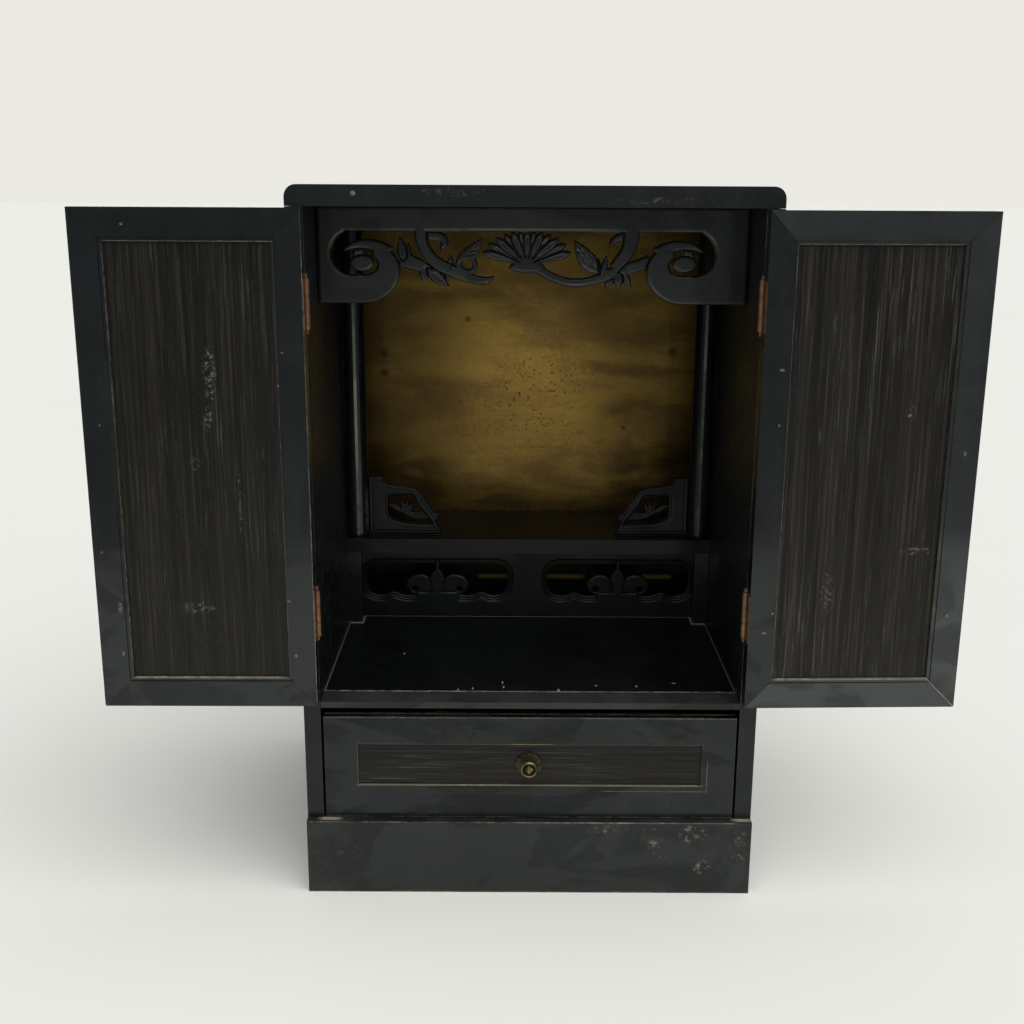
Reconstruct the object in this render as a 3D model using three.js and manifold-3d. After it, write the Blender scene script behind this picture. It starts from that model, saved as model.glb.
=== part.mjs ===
// A household altar cabinet in black lacquer: two framed doors on butt hinges, a gilt back panel behind
// two round pillars, a carved transom, an upper shelf on a pierced apron, a lower shelf, a drawer and a plinth.
// Millimetres. X runs to the right, Y to the back and Z up. While it is built, Y = 0 is the front edge of
// the side panels and Z = 0 the floor; at the end the group is moved to stand on its own centre.
import * as THREE from "three";
import { mergeVertices } from "three/addons/utils/BufferGeometryUtils.js";
import Module from "manifold-3d";

const wasm = await Module();
wasm.setup();

// Clearance between pieces that touch.
const GAP = 0.3;

// Carcase.
const WIDTH = 370;
const DEPTH = 303;
const PLINTH_HEIGHT = 65;
const PLINTH_PROUD = 7.7;
const PLINTH_THICKNESS = 14;
const SIDE_THICKNESS = 13.6;
const SIDE_HEIGHT = 495.7;
const TOP_THICKNESS = 15.7;
const TOP_CORNER_RADIUS = 9;
const BACK_THICKNESS = 8;
const GOLD_THICKNESS = 3;
const BOTTOM_THICKNESS = 10;

// Shelves, posts and pillars.
const LOWER_SHELF_TOP = 168.6;
const LOWER_SHELF_THICKNESS = 5.3;
const FRONT_RAIL_DEPTH = 23.7;
const UPPER_SHELF_TOP = 256.1;
const UPPER_SHELF_THICKNESS = 13.4;
const UPPER_SHELF_FRONT = 179.5;
const PILLAR_DIAMETER = 20;
const PILLAR_SETBACK = 7.5;
const POST_WIDTH = 12;
const POST_SETBACK = 11.5;
const POST_DEPTH = 20.7;

// Pierced apron below the upper shelf: its two cloud openings and the leaf in each.
const APRON_THICKNESS = 7;
const CLOUD_OFFSET = 88;
const CLOUD_LENGTH = 138;
const CLOUD_HEIGHT = 33;
const CLOUD_TOP_MARGIN = 20.4;
const CLOUD_CUSP = 3.5;
const CLOUD_BEVEL = 4.5;
const CLOUD_BEVEL_DEPTH = 2.4;

// Corner brackets on the upper shelf.
const BRACKET_THICKNESS = 7;
const BRACKET_SETBACK = 16.5;
const BRACKET_HEIGHT = 55;
const BRACKET_LENGTH = 69;

// Carved transom under the top board.
const TRANSOM_SETBACK = 62;
const TRANSOM_THICKNESS = 10;
const TRANSOM_HEIGHT = 75.7;
const TRANSOM_HEADER = 19.3;
const TRANSOM_PATTERN_SHIFT = -4.8;
const LEFT_SCROLL = 131;
const RIGHT_SCROLL = 125;
const CARVING_RELIEF = 1.6;

// Doors and hinges.
const DOOR_THICKNESS = 12;
const DOOR_SIDE_CLEARANCE = 1.4;
const DOOR_CENTRE_CLEARANCE = 1.4;
const DOOR_TOP_CLEARANCE = 0.7;
const DOOR_BOTTOM_CLEARANCE = 3.8;
const HINGE_STILE = 21.5;
const MEETING_STILE = 24;
const DOOR_RAIL = 24;
const DOOR_BEAD = 3;
const DOOR_BEAD_DEPTH = 1.2;
const DOOR_PANEL_THICKNESS = 5;
const LEFT_DOOR_OPEN_DEG = 179.6;
const RIGHT_DOOR_OPEN_DEG = 181.7;
const HINGE_LENGTH = 38;
const HINGE_TOP_DISTANCE = 70.1;
const HINGE_BOTTOM_DISTANCE = 73.5;
const HINGE_BARREL_DIAMETER = 5;
const HINGE_PIN_DIAMETER = 2.2;
const HINGE_PIN_TIP = 3.5;
const HINGE_LEAF_THICKNESS = 0.7;
const HINGE_LEAF_WIDTH = 11;
const HINGE_MORTISE = 0.5;
const HINGE_AXIS_PROUD = 2.9;
const HINGE_AXIS_INSET = 1.1;

// Drawer.
const DRAWER_SIDE_CLEARANCE = 2;
const DRAWER_BOTTOM_CLEARANCE = 0.6;
const DRAWER_FRONT_HEIGHT = 89.7;
const DRAWER_FRONT_THICKNESS = 13.3;
const DRAWER_BOX_HEIGHT = 78;
const DRAWER_BACK_CLEARANCE = 13;
const DRAWER_WALL = 8;
const DRAWER_BASE = 4;
const DRAWER_PANEL_WIDTH = 284;
const DRAWER_PANEL_HEIGHT = 36.8;
const DRAWER_PANEL_RISE = 29;
const DRAWER_PANEL_DEPTH = 2.2;
const KNOB_RISE = 47.4;
const KNOB_SHIFT = -0.7;
const ROSETTE_DIAMETER = 22;
const ROSETTE_THICKNESS = 1.6;
const ROSETTE_LOBES = 12;
const KNOB_DIAMETER = 14;
const KNOB_PROJECTION = 9.5;
const KNOB_NECK_DIAMETER = 7;

// Places that follow from the sizes above.
const HALF = WIDTH / 2;
const INNER = HALF - SIDE_THICKNESS;
const SIDE_TOP = PLINTH_HEIGHT + SIDE_HEIGHT;
const GOLD_FRONT = DEPTH - BACK_THICKNESS - GAP - GOLD_THICKNESS;
const SHELF_BACK = DEPTH - BACK_THICKNESS - GAP;
const APRON_FRONT = UPPER_SHELF_FRONT + POST_SETBACK + POST_DEPTH + GAP;
const BAY_BOTTOM = LOWER_SHELF_TOP + GAP;
const BAY_TOP = UPPER_SHELF_TOP - UPPER_SHELF_THICKNESS - GAP;
const PILLAR_X = INNER - GAP - PILLAR_DIAMETER / 2;
const PILLAR_Y = UPPER_SHELF_FRONT + PILLAR_SETBACK + PILLAR_DIAMETER / 2;
const TRANSOM_BOTTOM = SIDE_TOP - TRANSOM_HEIGHT;

const material = (color, roughness, metalness = 0) =>
  new THREE.MeshStandardMaterial({ color, roughness, metalness });
const LACQUER = material(0x17181a, 0.3);
const VENEER = material(0x2b211c, 0.45);
const GOLD = material(0x97742d, 0.45, 0.7);
const COPPER = material(0xaa6e50, 0.45, 0.9);
const BRASS = material(0x78693c, 0.5, 0.9);
const BARE_WOOD = material(0x6b5335, 0.8);

const cabinet = new THREE.Group();

// A closed geometry as a manifold-3d solid.
function solid(geometry) {
  const bare = geometry.index ? geometry.toNonIndexed() : geometry.clone();
  bare.deleteAttribute("normal");
  bare.deleteAttribute("uv");
  const merged = mergeVertices(bare, 1e-4);
  return new wasm.Manifold(
    new wasm.Mesh({
      numProp: 3,
      vertProperties: merged.attributes.position.array,
      triVerts: new Uint32Array(merged.index.array),
    }),
  );
}

// Adds a solid to a group as one named mesh.
function add(name, made, finish, parent = cabinet) {
  const mesh = made.getMesh();
  const geometry = new THREE.BufferGeometry();
  geometry.setAttribute("position", new THREE.BufferAttribute(mesh.vertProperties, 3));
  geometry.setIndex(new THREE.BufferAttribute(mesh.triVerts, 1));
  geometry.computeVertexNormals();
  const piece = new THREE.Mesh(geometry, finish);
  piece.name = name;
  parent.add(piece);
  return piece;
}

const union = (solids) => solids.reduce((whole, piece) => whole.add(piece));

// A block between two corners.
function block(x0, x1, y0, y1, z0, z1) {
  const geometry = new THREE.BoxGeometry(x1 - x0, y1 - y0, z1 - z0);
  return solid(geometry.translate((x0 + x1) / 2, (y0 + y1) / 2, (z0 + z1) / 2));
}

// An outline in the front view, X and Z, as a prism from its front to its back.
function frontPrism(outline, front, back) {
  const geometry = new THREE.ExtrudeGeometry(new THREE.Shape(outline), {
    depth: back - front,
    bevelEnabled: false,
  });
  return solid(geometry.rotateX(Math.PI / 2).translate(0, back, 0));
}

// An upright cylinder on an axis at X and Y.
function upright(x, y, radius, bottom, top, sides) {
  const geometry = new THREE.CylinderGeometry(radius, radius, top - bottom, sides);
  return solid(geometry.rotateX(Math.PI / 2).translate(x, y, (bottom + top) / 2));
}

const point = (x, y) => new THREE.Vector2(x, y);

// The outline of an ellipse, turned about its centre.
function ellipse(x, y, halfWidth, halfHeight, sides = 20, turn = 0) {
  const curve = new THREE.EllipseCurve(x, y, halfWidth, halfHeight, 0, 2 * Math.PI, false, turn);
  return curve.getPoints(sides).slice(0, sides);
}

// A rectangle with its upper or all corners rounded.
function roundedRectangle(x0, x1, z0, z1, lowRadius, highRadius, steps = 6) {
  const corner = (x, z, radius, start) =>
    Array.from({ length: radius > 0 ? steps + 1 : 1 }, (unused, i) => {
      const angle = start + (i / steps) * (Math.PI / 2);
      return point(x + radius * Math.cos(angle), z + radius * Math.sin(angle));
    });
  return [
    ...corner(x1 - lowRadius, z0 + lowRadius, lowRadius, -Math.PI / 2),
    ...corner(x1 - highRadius, z1 - highRadius, highRadius, 0),
    ...corner(x0 + highRadius, z1 - highRadius, highRadius, Math.PI / 2),
    ...corner(x0 + lowRadius, z0 + lowRadius, lowRadius, Math.PI),
  ];
}

// A pointed leaf from root to tip, with its own width on each side and its middle bowed sideways.
function leaf(root, tip, leftWidth, rightWidth, bow = 0, steps = 5) {
  const along = tip.clone().sub(root);
  const across = point(-along.y, along.x).normalize();
  const middle = root.clone().add(tip).multiplyScalar(0.5).addScaledVector(across, bow);
  const spine = new THREE.QuadraticBezierCurve(root, middle, tip);
  const edge = (width, t) => {
    const tangent = spine.getTangent(t);
    const normal = point(-tangent.y, tangent.x);
    const swell = Math.sin(Math.PI * Math.pow(t, 0.8));
    return spine.getPoint(t).addScaledVector(normal, width * swell);
  };
  const outline = [root.clone()];
  for (let i = 1; i < steps; i++) outline.push(edge(-rightWidth, i / steps));
  outline.push(tip.clone());
  for (let i = steps - 1; i > 0; i--) outline.push(edge(leftWidth, i / steps));
  return outline;
}

// A stem along a smooth line, with a width at each of its points.
function stem(points, widths, steps = 4) {
  const line = new THREE.SplineCurve(points);
  const count = (points.length - 1) * steps;
  const left = [];
  const right = [];
  for (let i = 0; i <= count; i++) {
    const t = i / count;
    const place = t * (widths.length - 1);
    const low = Math.min(Math.floor(place), widths.length - 2);
    const width = THREE.MathUtils.lerp(widths[low], widths[low + 1], place - low);
    const tangent = line.getTangent(t);
    const normal = point(-tangent.y, tangent.x);
    const centre = line.getPoint(t);
    left.push(centre.clone().addScaledVector(normal, width / 2));
    right.push(centre.clone().addScaledVector(normal, -width / 2));
  }
  return [...right, ...left.reverse()];
}

function carcase() {
  const plinthSide = HALF - PLINTH_THICKNESS;
  add(
    "plinth_front",
    block(-HALF, HALF, -PLINTH_PROUD, PLINTH_THICKNESS - PLINTH_PROUD, 0, PLINTH_HEIGHT),
    LACQUER,
  );
  add(
    "plinth_back",
    block(-HALF, HALF, DEPTH - PLINTH_THICKNESS, DEPTH, 0, PLINTH_HEIGHT),
    LACQUER,
  );
  const board = [PLINTH_THICKNESS - PLINTH_PROUD + GAP, DEPTH - PLINTH_THICKNESS - GAP];
  const top = PLINTH_HEIGHT;
  add("plinth_left", block(-HALF, -plinthSide, ...board, 0, top), LACQUER);
  add("plinth_right", block(plinthSide, HALF, ...board, 0, top), LACQUER);
  const reach = plinthSide - GAP;
  add("bottom_board", block(-reach, reach, ...board, top - BOTTOM_THICKNESS, top), BARE_WOOD);

  const lid = roundedRectangle(
    -HALF,
    HALF,
    SIDE_TOP + GAP,
    SIDE_TOP + GAP + TOP_THICKNESS,
    0,
    TOP_CORNER_RADIUS,
  );
  add("top_board", frontPrism(lid, 0, DEPTH), LACQUER);
  const between = [PLINTH_HEIGHT + GAP, SIDE_TOP];
  const inside = INNER - GAP;
  add(
    "back_board",
    block(-inside, inside, DEPTH - BACK_THICKNESS, DEPTH, ...between),
    BARE_WOOD,
  );
  add(
    "gold_panel",
    block(-inside, inside, GOLD_FRONT, GOLD_FRONT + GOLD_THICKNESS, UPPER_SHELF_TOP + GAP, SIDE_TOP),
    GOLD,
  );
}

// A side panel, with the hinge leaves let into its inner face.
function sidePanel(name, side) {
  let panel = block(INNER, HALF, 0, DEPTH, PLINTH_HEIGHT + GAP, SIDE_TOP);
  for (const middle of hingeHeights()) {
    const reach = HINGE_LENGTH / 2 + GAP;
    panel = panel.subtract(
      block(
        INNER - 1,
        INNER + HINGE_MORTISE,
        -1,
        HINGE_LEAF_WIDTH + GAP,
        middle - reach,
        middle + reach,
      ),
    );
  }
  add(name, mirrored(panel, side), LACQUER);
}

// A solid made for the right side, as it is there or turned over to the left.
function mirrored(made, side) {
  return side > 0 ? made : made.mirror([1, 0, 0]);
}

function shelves() {
  const reach = INNER - GAP;
  const low = LOWER_SHELF_TOP - LOWER_SHELF_THICKNESS;
  const railEnd = FRONT_RAIL_DEPTH - GAP;
  add("shelf_front_rail", block(-reach, reach, 0, railEnd, low, LOWER_SHELF_TOP), LACQUER);
  add(
    "lower_shelf",
    block(-reach, reach, FRONT_RAIL_DEPTH, SHELF_BACK, low, LOWER_SHELF_TOP),
    LACQUER,
  );
  const under = UPPER_SHELF_TOP - UPPER_SHELF_THICKNESS;
  add(
    "upper_shelf",
    block(-reach, reach, UPPER_SHELF_FRONT, SHELF_BACK, under, UPPER_SHELF_TOP),
    LACQUER,
  );

  for (const [name, side] of [["left", -1], ["right", 1]]) {
    const postFront = UPPER_SHELF_FRONT + POST_SETBACK;
    const post = block(
      reach - POST_WIDTH,
      reach,
      postFront,
      postFront + POST_DEPTH,
      BAY_BOTTOM,
      BAY_TOP,
    );
    add("lower_post_" + name, mirrored(post, side), LACQUER);
    const radius = PILLAR_DIAMETER / 2;
    const pillar = upright(PILLAR_X, PILLAR_Y, radius, UPPER_SHELF_TOP + GAP, SIDE_TOP, 24);
    add("pillar_" + name, mirrored(pillar, side), LACQUER);
  }
}

// One cloud opening grown by a margin, as outlines about its own centre: a long rounded slot and four
// shallow lobes along its lower edge.
function cloudOutlines(top, grow) {
  const low = top - CLOUD_HEIGHT;
  const half = CLOUD_LENGTH / 2;
  const round = CLOUD_HEIGHT * 0.36 + grow;
  const slot = [low + CLOUD_CUSP - grow, top + grow, round, round];
  const outlines = [roundedRectangle(-half - grow, half + grow, ...slot)];
  const rise = CLOUD_HEIGHT * 0.27;
  for (const side of [-1, 1]) {
    const outer = half * 0.18;
    const inner = half * 0.215;
    outlines.push(ellipse(side * half * 0.8, low + rise, outer + grow, rise + grow, 20));
    outlines.push(ellipse(side * half * 0.41, low + rise, inner + grow, rise + grow, 20));
  }
  return outlines;
}

// The leaf that stands in a cloud opening: a mound, two broad side leaves and a bud that reaches the top.
function cloudLeaf(top, front, back) {
  const low = top - CLOUD_HEIGHT;
  const at = (u, v) => point(u * CLOUD_LENGTH, low + v * CLOUD_HEIGHT);
  const prism = (outline, inset = 0) => frontPrism(ordered(outline), front + inset, back);
  const bud = [at(-0.02, 0.05), at(0.02, 0.05), at(0.055, 0.5), at(0.035, 0.74), at(0.012, 0.84)];
  bud.push(at(0.012, 1.1), at(-0.012, 1.1), at(-0.012, 0.84), at(-0.035, 0.74), at(-0.055, 0.5));
  const pieces = [
    prism(roundedRectangle(at(-0.15, 0).x, at(0.15, 0).x, low - CLOUD_BEVEL, low + 4, 0, 3, 3)),
    prism(bud),
  ];
  for (const side of [-1, 1]) {
    const middle = at(side * 0.125, 0.35);
    const broad = ellipse(middle.x, middle.y, 0.095 * CLOUD_LENGTH, 0.31 * CLOUD_HEIGHT, 20);
    const curl = at(side * 0.155, 0.22);
    const hole = ellipse(curl.x, curl.y, 0.022 * CLOUD_LENGTH, 0.08 * CLOUD_HEIGHT, 10);
    const made = prism(broad, CARVING_RELIEF / 2);
    pieces.push(made.subtract(frontPrism(hole, front - 1, back + 1)));
    pieces.push(prism(leaf(at(side * 0.03, 0.1), at(side * 0.13, 0.66), 3.4, 3.4), CARVING_RELIEF));
  }
  return union(pieces);
}

function apron() {
  const back = APRON_FRONT + APRON_THICKNESS;
  const reach = INNER - GAP;
  const top = BAY_TOP - CLOUD_TOP_MARGIN;
  let board = block(-reach, reach, APRON_FRONT, back, BAY_BOTTOM, BAY_TOP);
  for (const side of [-1, 1]) {
    const place = (made) => made.translate([side * CLOUD_OFFSET, 0, 0]);
    for (const outline of cloudOutlines(top, 0)) {
      board = board.subtract(place(frontPrism(outline, APRON_FRONT - 1, back + 1)));
    }
    // The bevel round the front edge is cut in a few shallow steps.
    const bevelSteps = 2;
    for (let i = 1; i <= bevelSteps; i++) {
      const grow = (CLOUD_BEVEL * i) / bevelSteps;
      const depth = CLOUD_BEVEL_DEPTH * (1 - (i - 0.5) / bevelSteps);
      for (const outline of cloudOutlines(top, grow)) {
        board = board.subtract(place(frontPrism(outline, APRON_FRONT - 1, APRON_FRONT + depth)));
      }
    }
    board = board.add(place(cloudLeaf(top, APRON_FRONT, back)));
  }
  add("pierced_apron", board, LACQUER);
}

// A corner bracket: an upright block by the pillar, a bar that turns down into a sloping arm, a foot,
// a base wedge and a leafy sprig in the opening. Its outline is given from the pillar and the shelf.
function bracket(name, side) {
  const front = UPPER_SHELF_FRONT + BRACKET_SETBACK;
  const back = front + BRACKET_THICKNESS;
  const start = PILLAR_X - PILLAR_DIAMETER / 2 - GAP;
  const base = UPPER_SHELF_TOP + GAP;
  const at = (u, v) => point(start - u * BRACKET_LENGTH, base + v * BRACKET_HEIGHT);
  const prism = (outline, inset = 0) => frontPrism(ordered(outline), front + inset, back);
  const outer = [
    at(0, 0),
    at(0, 1),
    at(0.185, 1),
    at(0.195, 0.95),
    at(0.215, 0.9),
    at(0.25, 0.873),
    at(0.6, 0.81),
    at(0.67, 0.775),
    at(0.713, 0.718),
    at(0.89, 0.37),
    at(0.945, 0.35),
    at(0.955, 0.28),
    at(0.905, 0.236),
    at(1, 0),
  ];
  const opening = [
    at(0.263, 0.37),
    at(0.263, 0.66),
    at(0.32, 0.7),
    at(0.6, 0.7),
    at(0.63, 0.66),
    at(0.671, 0.527),
    at(0.872, 0.205),
    at(0.875, 0.16),
    at(0.79, 0.162),
    at(0.455, 0.185),
    at(0.33, 0.236),
    at(0.28, 0.3),
  ];
  const sprig = [
    leaf(at(0.27, 0.52), at(0.53, 0.36), 2.6, 2.6, 1),
    leaf(at(0.5, 0.34), at(0.44, 0.58), 2.4, 2.4),
    leaf(at(0.5, 0.33), at(0.52, 0.63), 2.6, 2.6),
    leaf(at(0.52, 0.34), at(0.6, 0.58), 2.4, 2.4),
    stem([at(0.46, 0.4), at(0.62, 0.32), at(0.8, 0.35)], [4, 6, 11]),
  ];
  const frame = prism(outer).subtract(frontPrism(ordered(opening), front - 1, back + 1));
  const carved = union(sprig.map((outline) => prism(outline, CARVING_RELIEF)));
  add(name, mirrored(frame.add(carved), side), LACQUER);
}

// The stems and leaves on one side of the transom. A stem has its points and a width at each; a leaf has
// its root, its tip, a width on each side and a bow. The last number is how far it is cut back.
const LEFT_SPRAY = [
  ["stem", [[100.5, 36], [92.7, 32.5], [84.8, 29.5], [77, 24.5]], [13, 11, 9, 8], 1],
  ["leaf", [98.5, 33], [101, 52.5], 3.6, 4.2, 0, 0],
  ["leaf", [96, 33], [94.5, 48], 3, 3, 0, 1],
  ["leaf", [82, 29], [81.5, 16.5], 4.2, 4.2, 0, 1],
  ["leaf", [80, 28], [62, 13.5], 4.6, 4.2, -1.5, 0],
  ["leaf", [73, 27], [64, 18.5], 3, 3, 0, 1],
  ["stem", [[84.5, 57], [84, 50], [80.8, 42], [75, 34.5], [67, 29]], [10, 9.5, 9, 9, 9], 0],
  ["stem", [[69, 30], [57, 24.5], [47, 20.5], [38, 18.2], [31, 18.4], [26.4, 21.4]], [9, 8.5, 7, 6.6, 5, 1.4], 0],
  ["stem", [[82, 53], [74, 53], [67.3, 51.2], [65.8, 46.5], [68.5, 42.4]], [7, 7.5, 7, 6, 2.4], 1],
  ["leaf", [58, 26.5], [35.7, 51.2], 6.4, 6.4, -2, 0],
  ["leaf", [61, 26], [61, 38.5], 2.8, 2.8, 0, 1],
];
const RIGHT_SPRAY = [
  ["stem", [[98, 34], [90, 31], [80, 28], [70, 26]], [10, 9, 9, 8], 1],
  ["stem", [[83, 57], [82.5, 50], [80, 42], [75, 35], [69, 28]], [12, 12, 11, 10, 8], 0],
  ["stem", [[81, 53.2], [73.5, 52.4], [68.4, 49.2], [67, 45]], [7, 6.5, 5, 2], 1],
  ["leaf", [57.5, 24], [37.5, 50.5], 7, 7.4, -2, 0],
  ["leaf", [60, 21], [63.5, 38], 3, 3, 0, 0],
  ["leaf", [56.5, 22], [57, 37], 2.6, 2.6, 0, 1],
  ["leaf", [74, 26], [83.5, 13.5], 4, 4, 0, 1],
  ["leaf", [73, 25], [73, 12.5], 4, 4, 0, 0],
  ["leaf", [72, 26], [62.5, 12.8], 4, 4, 1, 1],
  ["stem", [[8, 28], [16, 23.2], [24, 19.6], [32, 17.3], [39, 16.7], [46, 17.2], [53, 18.7]],
    [7, 6.6, 6.5, 6.5, 6.5, 6.5, 6.5], 0],
  ["stem", [[52, 18.5], [58, 20.2], [64, 22.6], [71, 27]], [6.5, 7, 7.5, 8], 0],
];

// One half of the transom's carving. Places are given from the pattern's middle and from the lower edge.
function transomHalf(side, scroll, spray) {
  const at = (u, v) => point(TRANSOM_PATTERN_SHIFT + side * u, TRANSOM_BOTTOM + v);
  const wall = INNER - GAP - side * TRANSOM_PATTERN_SHIFT;
  const front = TRANSOM_SETBACK;
  const back = front + TRANSOM_THICKNESS;
  const opening = TRANSOM_HEIGHT - TRANSOM_HEADER;
  const prism = (outline, inset = 0) => frontPrism(ordered(outline), front + inset, back);
  const cut = (outline) => frontPrism(ordered(outline), front - 1, back + 1);
  const oval = (u, v, a, b, sides = 20) => {
    const middle = at(u, v);
    return ellipse(middle.x, middle.y, a, b, sides);
  };

  // The end block with its round scroll, and the opening that runs round the scroll's curl.
  let made = prism([at(scroll, 0), at(wall, 0), at(wall, opening + 1), at(scroll, opening + 1)]);
  made = made.add(prism(oval(scroll, 25, 30, 25, 36)));
  const slot = [
    at(scroll - 34, 49.6),
    at(scroll + 14, 49.6),
    at(scroll + 14, opening),
    at(scroll - 34, opening),
  ];
  made = made.subtract(cut(slot));
  made = made.subtract(cut(oval(scroll + 8.5, (22 + opening) / 2, 16.4, (opening - 22) / 2, 32)));
  made = made.subtract(cut(oval(scroll - 1, 30.5, 11, 8.3, 24)));
  const band = [at(scroll - 21, 38), at(scroll - 12, 44.6), at(scroll - 1, 46.6)];
  band.push(at(scroll + 8, 45), at(scroll + 15, 41));
  made = made.add(prism(stem(band, [15, 9, 7, 5.6, 1.2])));
  made = made.add(prism(stem([at(scroll + 3, 46), at(scroll + 3.5, 35)], [9, 8]), CARVING_RELIEF));
  made = made.add(prism(oval(scroll + 0.5, 31.6, 9.8, 6.4, 20), CARVING_RELIEF / 2));

  for (const part of spray) {
    const inset = part[part.length - 1] * CARVING_RELIEF;
    if (part[0] === "stem") {
      made = made.add(prism(stem(part[1].map((p) => at(...p)), part[2], 3), inset));
    } else {
      const [, root, tip, left, right, bow] = part;
      const widths = side > 0 ? [right, left] : [left, right];
      made = made.add(prism(leaf(at(...root), at(...tip), ...widths, -side * bow), inset));
    }
  }
  if (side < 0) {
    // The leaf on the left closes in a small ring.
    made = made.add(prism(oval(47.2, 30.3, 8, 7.6, 20)));
    made = made.subtract(cut(oval(47.4, 30.5, 4.2, 3.6, 12)));
  }
  return made;
}

// An outline with its points turned the right way round for an extrusion.
function ordered(outline) {
  return THREE.ShapeUtils.isClockWise(outline) ? outline.slice().reverse() : outline;
}

// The fan-shaped flower in the middle: broad petals that overlap, on a low foot.
function transomFlower() {
  const front = TRANSOM_SETBACK;
  const back = front + TRANSOM_THICKNESS;
  const foot = point(TRANSOM_PATTERN_SHIFT, TRANSOM_BOTTOM + 30);
  const rise = TRANSOM_HEIGHT - TRANSOM_HEADER - 29;
  const petals = 13;
  const firstAngle = THREE.MathUtils.degToRad(17);
  const pieces = [frontPrism(ellipse(foot.x, foot.y - 1.2, 14.5, 4.4, 16), front, back)];
  const profile = [[0.35, 1.7], [0.62, 3], [0.82, 3.2], [0.94, 1.8]];
  for (let i = 0; i < petals; i++) {
    const angle = firstAngle + (i / (petals - 1)) * (Math.PI - 2 * firstAngle);
    const length = rise + 10.5 * Math.cos(angle) ** 2;
    const at = (along, across) =>
      point(
        foot.x + length * along * Math.cos(angle) - across * Math.sin(angle),
        foot.y + length * along * Math.sin(angle) + across * Math.cos(angle),
      );
    const outline = [at(0, -1), ...profile.map(([t, w]) => at(t, -w)), at(1, 0)];
    outline.push(...profile.map(([t, w]) => at(t, w)).reverse(), at(0, 1));
    pieces.push(frontPrism(ordered(outline), front + (i % 2) * CARVING_RELIEF, back));
  }
  return union(pieces);
}

function transom() {
  const reach = INNER - GAP;
  const header = block(
    -reach,
    reach,
    TRANSOM_SETBACK,
    TRANSOM_SETBACK + TRANSOM_THICKNESS,
    SIDE_TOP - TRANSOM_HEADER,
    SIDE_TOP,
  );
  const left = transomHalf(-1, LEFT_SCROLL, LEFT_SPRAY);
  const right = transomHalf(1, RIGHT_SCROLL, RIGHT_SPRAY);
  add("carved_transom", union([header, left, right, transomFlower()]), LACQUER);
}

// The hinges' middles, above the floor.
function hingeHeights() {
  const low = LOWER_SHELF_TOP + DOOR_BOTTOM_CLEARANCE + HINGE_BOTTOM_DISTANCE;
  const high = SIDE_TOP - DOOR_TOP_CLEARANCE - HINGE_TOP_DISTANCE;
  return [low, high];
}

// A ring of a hinge's barrel about its axis.
function knuckle(x, y, bottom, top) {
  const outer = upright(x, y, HINGE_BARREL_DIAMETER / 2, bottom, top, 12);
  const bore = HINGE_PIN_DIAMETER / 2 + GAP;
  return outer.subtract(upright(x, y, bore, bottom - 1, top + 1, 10));
}

// A hinge's knuckles from the bottom up, the outer two on the side panel and the middle one on the door.
function knuckleSpans(middle) {
  const third = (HINGE_LENGTH - 2 * GAP) / 3;
  const bottom = middle - HINGE_LENGTH / 2;
  return [0, 1, 2].map((i) => {
    const start = bottom + i * (third + GAP);
    return [start, start + third];
  });
}

// One leaf of a hinge: a plate from x0 to x1 with tabs that run into its own knuckles.
function hingeLeaf(axisX, x0, x1, middle, spans, tabStart, plateStart) {
  const axisY = -HINGE_AXIS_PROUD;
  const half = HINGE_LENGTH / 2;
  const pieces = [block(x0, x1, plateStart, HINGE_LEAF_WIDTH, middle - half, middle + half)];
  for (const [bottom, top] of spans) {
    pieces.push(knuckle(axisX, axisY, bottom, top));
    pieces.push(block(x0, x1, tabStart, plateStart + 1, bottom, top));
  }
  return union(pieces);
}

// A bar of a door's frame, between two outline corners on its outside and two on its inside, with a
// lower bead along its inner edge. Y runs from the door's outer face to its inner face.
function frameBar(corners, bead) {
  const bar = frontPrism(ordered(corners), 0, DOOR_THICKNESS - DOOR_BEAD_DEPTH);
  return bar.add(frontPrism(ordered(bead), 0, DOOR_THICKNESS));
}

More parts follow.
